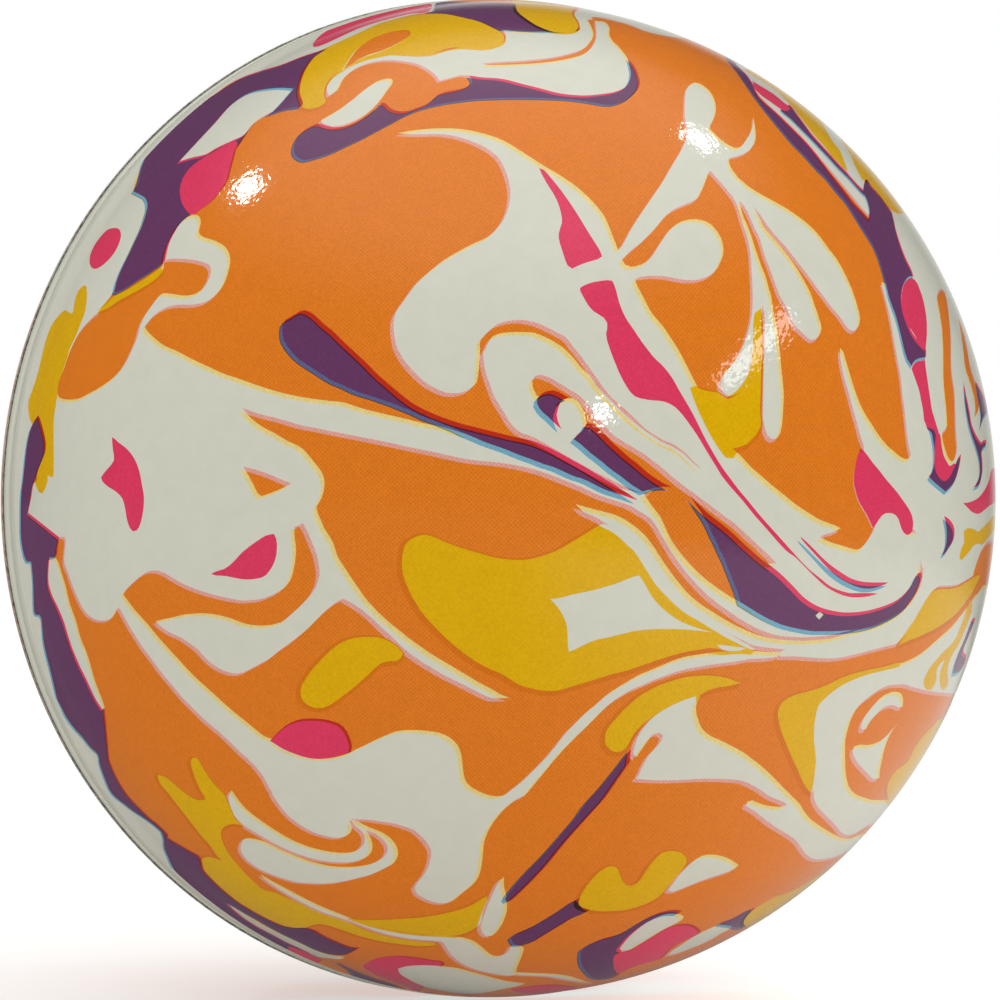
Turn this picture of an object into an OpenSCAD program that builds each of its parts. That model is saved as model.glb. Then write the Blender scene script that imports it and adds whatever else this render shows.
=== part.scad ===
// Moulded foam play ball with a printed film pressed over each half.
// The centre of the ball is the origin. The mould opened along Y, so the parting plane is y = 0,
// and the front film, the one towards the viewer, is on the -Y side.

/* [Ball] */
// Diameter over the printed films, away from the parting line
ball_d = 63; // [45:1:90]

/* [Layers] */
// Thickness of a printed film with its gloss
film_t = 0.12; // [0.08:0.01:0.25]
// Thickness of the white coat under the films
coat_t = 0.25; // [0.15:0.05:0.6]
// Thickness of the dense rind that the foam grows against the mould
rind_t = 1.2; // [0.8:0.1:3]

/* [Parting line] */
// How far the low ridge along the parting line stands above the round
ridge_h = 0.3; // [0.1:0.05:0.6]
// Width of the ridge where it runs out into the round
ridge_w = 5.6; // [4:0.2:8]
// Width of the thin web that squeezed out between the mould halves
web_w = 0.2; // [0.1:0.05:0.6]
// How far the trimmed web stands above the white coat
web_proud = 0.04; // [0.02:0.01:0.08]
// Distance from the parting plane to the front film's edge
front_margin = 1.5; // [0.8:0.1:4]
// Distance from the parting plane to the back film's edge
back_margin = 1.6; // [0.8:0.1:4]

/* [Hidden] */

facets = 180;
$fn = facets;
// How far a cutting block reaches past the ball
overrun = 2;

ball_r = ball_d / 2;
// The ridge is the rim of a torus: its crest radius, and the radius of its rounding
crest_r = ball_r + ridge_h;
ridge_round_r = pow(ridge_w / 2, 2) / (2 * ridge_h + pow(ridge_w / 2, 2) / ball_r);
// Depth of each layer's outer face below the ball's outside
coat_depth = film_t;
rind_depth = coat_depth + coat_t;
core_depth = rind_depth + rind_t;
// Half the side of a block that holds the whole ball
block_half = crest_r + overrun;

// The ball's round with the ridge about its parting line, taken in by depth on every side
module round_form(depth) {
    sphere(r = ball_r - depth);
    rotate([90, 0, 0])
        rotate_extrude()
            translate([crest_r - ridge_round_r, 0])
                circle(r = ridge_round_r - depth);
}

// The layer between two depths
module layer(outer_depth, inner_depth) {
    difference() {
        round_form(outer_depth);
        round_form(inner_depth);
    }
}

// Everything further than margin from the parting plane, on the front (side = -1) or the back (side = 1)
module half_space(side, margin) {
    depth = block_half - margin;
    translate([0, side * (margin + depth / 2), 0])
        cube([2 * block_half, depth, 2 * block_half], center = true);
}

// The part of a layer that lies on one side, from its margin outwards
module half_layer(side, margin, outer_depth, inner_depth) {
    intersection() {
        layer(outer_depth, inner_depth);
        half_space(side, margin);
    }
}

// The disc whose trimmed edge is the parting line
module web() {
    rotate([90, 0, 0])
        cylinder(r = crest_r - coat_depth + web_proud, h = web_w, center = true);
}

// Springy polyurethane foam that fills the rind
module foam_core() {
    color("moccasin") round_form(core_depth);
}

// Tight skin of the same moulding, with the web that parts the two coats
module dense_rind() {
    color("ivory")
        difference() {
            union() {
                round_form(rind_depth);
                web();
            }
            round_form(core_depth);
        }
}

// White coat of the front mould half, up to the web
module base_coat_front() {
    color("white") half_layer(-1, web_w / 2, coat_depth, rind_depth);
}

// White coat of the back mould half, up to the web
module base_coat_back() {
    color("white") half_layer(1, web_w / 2, coat_depth, rind_depth);
}

// Film with the marbled print over the front half
module printed_film_front() {
    color("darkorange") half_layer(-1, front_margin, 0, coat_depth);
}

// Film with the marbled print over the back half
module printed_film_back() {
    color("rebeccapurple") half_layer(1, back_margin, 0, coat_depth);
}

foam_core();
dense_rind();
base_coat_front();
base_coat_back();
printed_film_front();
printed_film_back();
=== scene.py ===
import math
import random
import bpy
import numpy as np
from mathutils import Matrix, Vector
from mathutils.geometry import delaunay_2d_cdt


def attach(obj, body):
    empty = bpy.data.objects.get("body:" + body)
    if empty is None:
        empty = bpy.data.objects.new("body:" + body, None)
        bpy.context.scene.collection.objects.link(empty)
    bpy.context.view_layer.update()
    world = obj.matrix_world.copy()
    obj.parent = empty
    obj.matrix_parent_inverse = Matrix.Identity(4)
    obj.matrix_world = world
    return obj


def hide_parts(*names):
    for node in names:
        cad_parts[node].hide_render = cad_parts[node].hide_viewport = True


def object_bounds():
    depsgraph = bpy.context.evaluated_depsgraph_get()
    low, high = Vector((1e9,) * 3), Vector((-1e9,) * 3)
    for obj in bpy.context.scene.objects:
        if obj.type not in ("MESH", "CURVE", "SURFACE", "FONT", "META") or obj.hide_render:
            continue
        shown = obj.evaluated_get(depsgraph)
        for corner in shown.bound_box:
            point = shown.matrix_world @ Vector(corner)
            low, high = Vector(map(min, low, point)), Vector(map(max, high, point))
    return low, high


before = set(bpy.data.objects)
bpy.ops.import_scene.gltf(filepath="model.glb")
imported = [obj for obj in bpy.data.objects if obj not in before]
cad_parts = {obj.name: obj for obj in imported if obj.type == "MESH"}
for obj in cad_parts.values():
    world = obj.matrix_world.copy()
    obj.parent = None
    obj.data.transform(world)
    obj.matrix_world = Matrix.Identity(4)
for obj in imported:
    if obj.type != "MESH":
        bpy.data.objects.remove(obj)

cad_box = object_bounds()

# Foam core: the light open-cell foam that fills the ball.
# Flexible polyurethane foam, dull and cream-white, with fine cells.
# Foamed up inside the mould; the coat and the films hide all of it.
MM = 0.001
BODY = "root"
# The ball and its layers in mm, and the low ridge along the parting line: height, half width, place.
BALL_R = 31.5
FILM_T = 0.12
COAT_T = 0.25
RIND_T = 1.2
RIDGE_H = 0.42
RIDGE_HALF = 4.4
RIDGE_Y = 1.2
RIND_DEPTH = FILM_T + COAT_T
CORE_DEPTH = RIND_DEPTH + RIND_T
CORE_RINGS = 72
CORE_SEGMENTS = 96
FOAM_CREAM = "#E6DFC8"
# The painted shade in the foam's cell pits: a darker cream.
FOAM_PIT_PAINTED_SHADE = "#CFC5A8"
FOAM_CELL = 0.6
FOAM_PIT = 0.2


def srgb(text):
    """A hex colour as linear RGBA."""
    out = []
    for at in (1, 3, 5):
        c = int(text[at:at + 2], 16) / 255
        out.append(c / 12.92 if c <= 0.04045 else ((c + 0.055) / 1.055) ** 2.4)
    return (*out, 1.0)


def node(tree, kind, links=(), **settings):
    """Adds a node; settings name its properties or inputs, links feed its inputs or fill them."""
    n = tree.nodes.new(kind)
    for key, value in settings.items():
        if hasattr(n, key):
            setattr(n, key, value)
        else:
            n.inputs[key.replace("_", " ")].default_value = value
    for socket, source in links:
        if isinstance(source, bpy.types.NodeSocket):
            tree.links.new(source, n.inputs[socket])
        else:
            n.inputs[socket].default_value = source
    return n


def blank_material(name):
    """A new node material without nodes."""
    mat = bpy.data.materials.new(name)
    mat.use_nodes = True
    mat.node_tree.nodes.clear()
    return mat


# Open-cell polyurethane foam: matt cream, its cells as fine pits, each darkened by painted shade.
foam = blank_material("open_cell_polyurethane_foam")
tree = foam.node_tree
coords = node(tree, "ShaderNodeTexCoord")
cells = node(tree, "ShaderNodeTexVoronoi", [("Vector", coords.outputs["Object"])],
             Scale=1 / (FOAM_CELL * MM))
# Painted shade: the colour darkens towards each cell's middle, where the bump below sinks into a pit.
tint = node(tree, "ShaderNodeValToRGB", [("Fac", cells.outputs["Distance"])])
tint.color_ramp.elements[0].color = srgb(FOAM_PIT_PAINTED_SHADE)
tint.color_ramp.elements[1].color = srgb(FOAM_CREAM)
bump = node(tree, "ShaderNodeBump", [("Height", cells.outputs["Distance"])], Strength=0.6,
            Distance=FOAM_PIT * MM)
surface = node(tree, "ShaderNodeBsdfPrincipled",
               [("Base Color", tint.outputs["Color"]), ("Normal", bump.outputs["Normal"])],
               Roughness=0.9)
node(tree, "ShaderNodeOutputMaterial", [("Surface", surface.outputs["BSDF"])])

# The foam's round by its rule: a sphere whose every point stands out to the skin's radius.
tree = bpy.data.node_groups.new("foam_round", "GeometryNodeTree")
sizes = {"Ball radius": BALL_R, "Depth": CORE_DEPTH, "Ridge height": RIDGE_H,
         "Ridge half width": RIDGE_HALF, "Ridge place": RIDGE_Y}
for name in sizes:
    tree.interface.new_socket(name, in_out="INPUT", socket_type="NodeSocketFloat")
tree.interface.new_socket("Geometry", in_out="OUTPUT", socket_type="NodeSocketGeometry")
given = node(tree, "NodeGroupInput")
ball = node(tree, "GeometryNodeMeshUVSphere", Segments=CORE_SEGMENTS, Rings=CORE_RINGS, Radius=1.0)
upright = node(tree, "GeometryNodeTransform", [("Geometry", ball.outputs["Mesh"]),
                                               ("Rotation", (math.pi / 2, 0, 0))])
place = node(tree, "GeometryNodeInputPosition")
y = node(tree, "ShaderNodeSeparateXYZ", [(0, place.outputs["Position"])])
across = node(tree, "ShaderNodeMath", [(0, y.outputs["Y"]), (1, given.outputs["Ball radius"])],
              operation="MULTIPLY")
across = node(tree, "ShaderNodeMath", [(0, across.outputs[0]), (1, given.outputs["Ridge place"])],
              operation="SUBTRACT")
off = node(tree, "ShaderNodeMath", [(0, across.outputs[0]), (1, given.outputs["Ridge half width"])],
           operation="DIVIDE")
square = node(tree, "ShaderNodeMath", [(0, off.outputs[0]), (1, off.outputs[0])], operation="MULTIPLY")
rest = node(tree, "ShaderNodeMath", [(0, 1.0), (1, square.outputs[0])], operation="SUBTRACT",
            use_clamp=True)
rise = node(tree, "ShaderNodeMath", [(0, rest.outputs[0]), (1, 2.0)], operation="POWER")
under = node(tree, "ShaderNodeMath", [(0, given.outputs["Ball radius"]), (1, given.outputs["Depth"])],
             operation="SUBTRACT")
radius = node(tree, "ShaderNodeMath", [(0, rise.outputs[0]), (1, given.outputs["Ridge height"]),
                                       (2, under.outputs[0])], operation="MULTIPLY_ADD")
metres = node(tree, "ShaderNodeMath", [(0, radius.outputs[0]), (1, MM)], operation="MULTIPLY")
spread = node(tree, "ShaderNodeVectorMath", [(0, place.outputs["Position"]), (3, metres.outputs[0])],
              operation="SCALE")
shaped = node(tree, "GeometryNodeSetPosition", [("Geometry", upright.outputs["Geometry"]),
                                                ("Position", spread.outputs["Vector"])])
smooth = node(tree, "GeometryNodeSetShadeSmooth", [(0, shaped.outputs["Geometry"])])
real = node(tree, "GeometryNodeRealizeInstances", [("Geometry", smooth.outputs[0])])
dressed = node(tree, "GeometryNodeSetMaterial",
               [("Geometry", real.outputs["Geometry"]), ("Material", foam)])
node(tree, "NodeGroupOutput", [("Geometry", dressed.outputs["Geometry"])])

core = bpy.data.objects.new("foam_core_body", bpy.data.meshes.new("foam_core_blank"))
bpy.context.scene.collection.objects.link(core)
rule = core.modifiers.new("foam_round", "NODES")
rule.node_group = tree
for item in tree.interface.items_tree:
    if item.name in sizes:
        rule[item.identifier] = float(sizes[item.name])
rounded = core.evaluated_get(bpy.context.evaluated_depsgraph_get())
plain = bpy.data.meshes.new_from_object(rounded)
core.modifiers.clear()
core.data = plain
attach(core, BODY)
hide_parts("foam_core")

# Dense rind: the tight skin that the foam grows against the cool mould wall.
# The same polyurethane, smooth and off-white, with the thin web squeezed out between the halves.
# Trimmed along the parting line, where its cut edge is a hair line between the two coats.
RIND_WHITE = "#CBCBBB"
RIND_SHADE = "#BCBCA9"
RIND_GRAIN = 2.0
RIND_ROUGH = 0.1
WEB_HALF = 0.1
WEB_PROUD = 0.04
WEB_ROUND = 0.02
SHELL_RINGS = 60
SHELL_SEGMENTS = 192


def skin(theta, depth):
    """Radius in mm at a polar angle from the front pole, depth mm below the outside.

    The low ridge along the parting line runs out smoothly into the round."""
    off = (-BALL_R * math.cos(theta) - RIDGE_Y) / RIDGE_HALF
    rise = 0.0
    if abs(off) < 1:
        rise = RIDGE_H * (1 - off ** 2) ** 2
    return BALL_R - depth + rise


def put(name, verts, faces, mat):
    """Makes a mesh object in metres from points in mm, shaded smooth, riding on the ball's body."""
    mesh = bpy.data.meshes.new(name)
    mesh.from_pydata([tuple(c * MM for c in v) for v in verts], [], faces)
    mesh.validate()
    mesh.materials.append(mat)
    mesh.shade_smooth()
    obj = bpy.data.objects.new(name, mesh)
    bpy.context.scene.collection.objects.link(obj)
    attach(obj, BODY)
    return obj


def turned(profile, segments):
    """Turns a closed profile of (radius, y) points about the mould axis Y."""
    verts = []
    faces = []
    count = len(profile)
    rows = []
    for radius, y in profile:
        if radius < 1e-6:
            rows.append([len(verts)] * segments)
            verts.append((0.0, y, 0.0))
        else:
            rows.append(list(range(len(verts), len(verts) + segments)))
            for k in range(segments):
                a = 2 * math.pi * k / segments
                verts.append((radius * math.cos(a), y, radius * math.sin(a)))
    for i in range(count):
        j = (i + 1) % count
        for k in range(segments):
            m = (k + 1) % segments
            quad = [rows[i][k], rows[j][k], rows[j][m], rows[i][m]]
            quad = [v for n, v in enumerate(quad) if v != quad[n - 1]]
            if len(quad) > 2:
                faces.append(quad)
    return verts, faces


def arc(start, end, depth, rings, side=1):
    """Points (radius, y) along the skin at a depth between two polar angles."""
    out = []
    for k in range(rings + 1):
        theta = start + (end - start) * k / rings
        if side < 0:
            theta = math.pi - theta
        r = skin(theta, depth)
        radius = r * math.sin(theta)
        if radius < 1e-4:
            radius = 0.0
        out.append((radius, -r * math.cos(theta)))
    return out


# Dense polyurethane: satin off-white, with a faint cloudy grain.
rind = blank_material("dense_polyurethane_rind")
tree = rind.node_tree
coords = node(tree, "ShaderNodeTexCoord")
grain = node(tree, "ShaderNodeTexNoise", [("Vector", coords.outputs["Object"])],
             Scale=1 / (RIND_GRAIN * MM), Detail=5.0)
tint = node(tree, "ShaderNodeValToRGB", [("Fac", grain.outputs["Fac"])])
tint.color_ramp.elements[0].color = srgb(RIND_SHADE)
tint.color_ramp.elements[1].color = srgb(RIND_WHITE)
bump = node(tree, "ShaderNodeBump", [("Height", grain.outputs["Fac"])], Strength=0.3,
            Distance=RIND_ROUGH * MM)
surface = node(tree, "ShaderNodeBsdfPrincipled",
               [("Base Color", tint.outputs["Color"]), ("Normal", bump.outputs["Normal"])],
               Roughness=0.55)
node(tree, "ShaderNodeOutputMaterial", [("Surface", surface.outputs["BSDF"])])

quarter_turn = math.pi / 2
web_angle = WEB_HALF / BALL_R
web_top = skin(quarter_turn, FILM_T) + WEB_PROUD
outer = arc(0, quarter_turn - web_angle, RIND_DEPTH, SHELL_RINGS)
flat_half = WEB_HALF - WEB_ROUND * 2
outer += [(web_top - WEB_ROUND, -WEB_HALF), (web_top, -flat_half)]
outer += [(web_top, flat_half), (web_top - WEB_ROUND, WEB_HALF)]
outer += arc(quarter_turn + web_angle, math.pi, RIND_DEPTH, SHELL_RINGS)
inner = arc(math.pi, 0, CORE_DEPTH, SHELL_RINGS)
shell = put("dense_rind_body", *turned(outer + inner, SHELL_SEGMENTS), rind)
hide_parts("dense_rind")

# White coats: one per half, the sprayed ground that the films are pressed on.
# Flexible white lacquer with a soft gloss, bare in the band along the parting line.
# Sprayed in the mould halves and cut back at the web.
COAT_WHITE = "#CFCFC2"
COAT_SHADE = "#C4C4B6"
COAT_CLOUD = 11.1
COAT_WAVE = 0.5
COAT_WAVE_DEPTH = 0.01

# White flexible lacquer: a soft gloss over slow clouds of white, with a slight sprayed wave.
coat = blank_material("white_flexible_lacquer")
tree = coat.node_tree
coords = node(tree, "ShaderNodeTexCoord")
cloud = node(tree, "ShaderNodeTexNoise", [("Vector", coords.outputs["Object"])],
             Scale=1 / (COAT_CLOUD * MM), Detail=3.0)
tint = node(tree, "ShaderNodeValToRGB", [("Fac", cloud.outputs["Fac"])])
tint.color_ramp.elements[0].color = srgb(COAT_SHADE)
tint.color_ramp.elements[1].color = srgb(COAT_WHITE)
wave = node(tree, "ShaderNodeTexNoise", [("Vector", coords.outputs["Object"])],
            Scale=1 / (COAT_WAVE * MM))
bump = node(tree, "ShaderNodeBump", [("Height", wave.outputs["Fac"])], Strength=1.0,
            Distance=COAT_WAVE_DEPTH * MM)
surface = node(tree, "ShaderNodeBsdfPrincipled",
               [("Base Color", tint.outputs["Color"]), ("Normal", bump.outputs["Normal"])],
               Roughness=0.3)
node(tree, "ShaderNodeOutputMaterial", [("Surface", surface.outputs["BSDF"])])

for side, end in ((1, "front"), (-1, "back")):
    edge = quarter_turn - web_angle
    outer = arc(0, edge, FILM_T, SHELL_RINGS, side)
    inner = arc(edge, 0, RIND_DEPTH, SHELL_RINGS, side)
    verts, faces = turned(outer + inner, SHELL_SEGMENTS)
    if side < 0:
        faces = [face[::-1] for face in faces]
    half = put("base_coat_%s_body" % end, verts, faces, coat)
    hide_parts("base_coat_" + end)

# Front film: the printed film on the half towards the viewer, marbled all over.
# A clear film printed on its back with a yellow, a magenta and a cyan plate over white,
# heated and drawn over the half ball, its edge 1.5 mm short of the parting line.

# The photograph's camera: the ball's middle in pixels, the degrees round and up, the distance in mm,
# the pixels to one unit of slope, and the rim's radius in pixels.
DISC_X = 498.7
DISC_Y = 498.5
VIEW_AZIMUTH = -17.9
VIEW_ELEVATION = 0.6
VIEW_DISTANCE = 320.0
VIEW_SCALE = 5024.6
RIM_R = 495.5
# Points beyond the rim go on round the ball, by so many degrees a pixel.
PAST_RIM = 1.8
# In mm: the film's edge from the parting line, and how far an outline may run on past that edge.
FRONT_MARGIN = 1.5
PAST_EDGE = 1.0
# The film's mesh: an outline's steps in mm and to a curve, a grid of staggered rows inside, and rings
# of closer points near the rim. Points nearer together than the last of these are merged.
STEP = 0.32
CURVE_STEPS = 8
GRID = 1.2
GRID_ROW = 0.866
RIM_STEP = 0.4
RIM_SPREAD = 1.6
RIM_RINGS = 14
RIM_POINTS = 720
MERGED = 0.0001
# The step in radians over which the skin's slope is measured, and the film map's scale.
SLOPE_STEP = 0.001
UV_PER_MM = 0.01
# The magenta plate sits off register by so many mm, up and to the right, so each outline shows a thin
# fringe of the colours beneath. Solid yellow and the yellow plate's hole under pink lie off by a share
# of that the other way.
OFF_REGISTER = (0.22, 0.22)
REGISTER_SHARE = 0.5
# In mm: how far solid yellow is spread, and how much smaller the yellow plate's holes under pink and
# purple are. An offset point is kept only where it lies at least the last share of that off its outline.
TRAP = 0.22
KNOCKED_IN = 0.07
OFFSET_KEPT = 0.97
# How strongly the dot screen shows: no magenta, screened, solid, and yellow or cyan alone.
SCREENED = (0.0, 1.0, 0.35, 0.35)
# The dot screen: its pitch in mm, its angle in degrees, and what it does to the ink's colour.
DOT_PITCH = 0.19
DOT_ANGLE = 45
BETWEEN_DOTS = (1.02, 1.10, 1.15, 1.0)
ON_DOTS = (0.94, 0.72, 0.60, 1.0)
INK_FULL = 3.0
# The ink's mottle and specks, and the orange peel of the clear face: sizes in mm, depths of shade.
MOTTLE = 1.1
MOTTLE_DEPTH = 0.02
SPECK = 0.17
SPECK_DEPTH = 0.06
PEEL_WAVE = 0.36
PEEL_HEIGHT = 0.012
NOISE_LOW = 0.3
NOISE_HIGH = 0.7
GLOSS = (0.05, 0.10)
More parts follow.
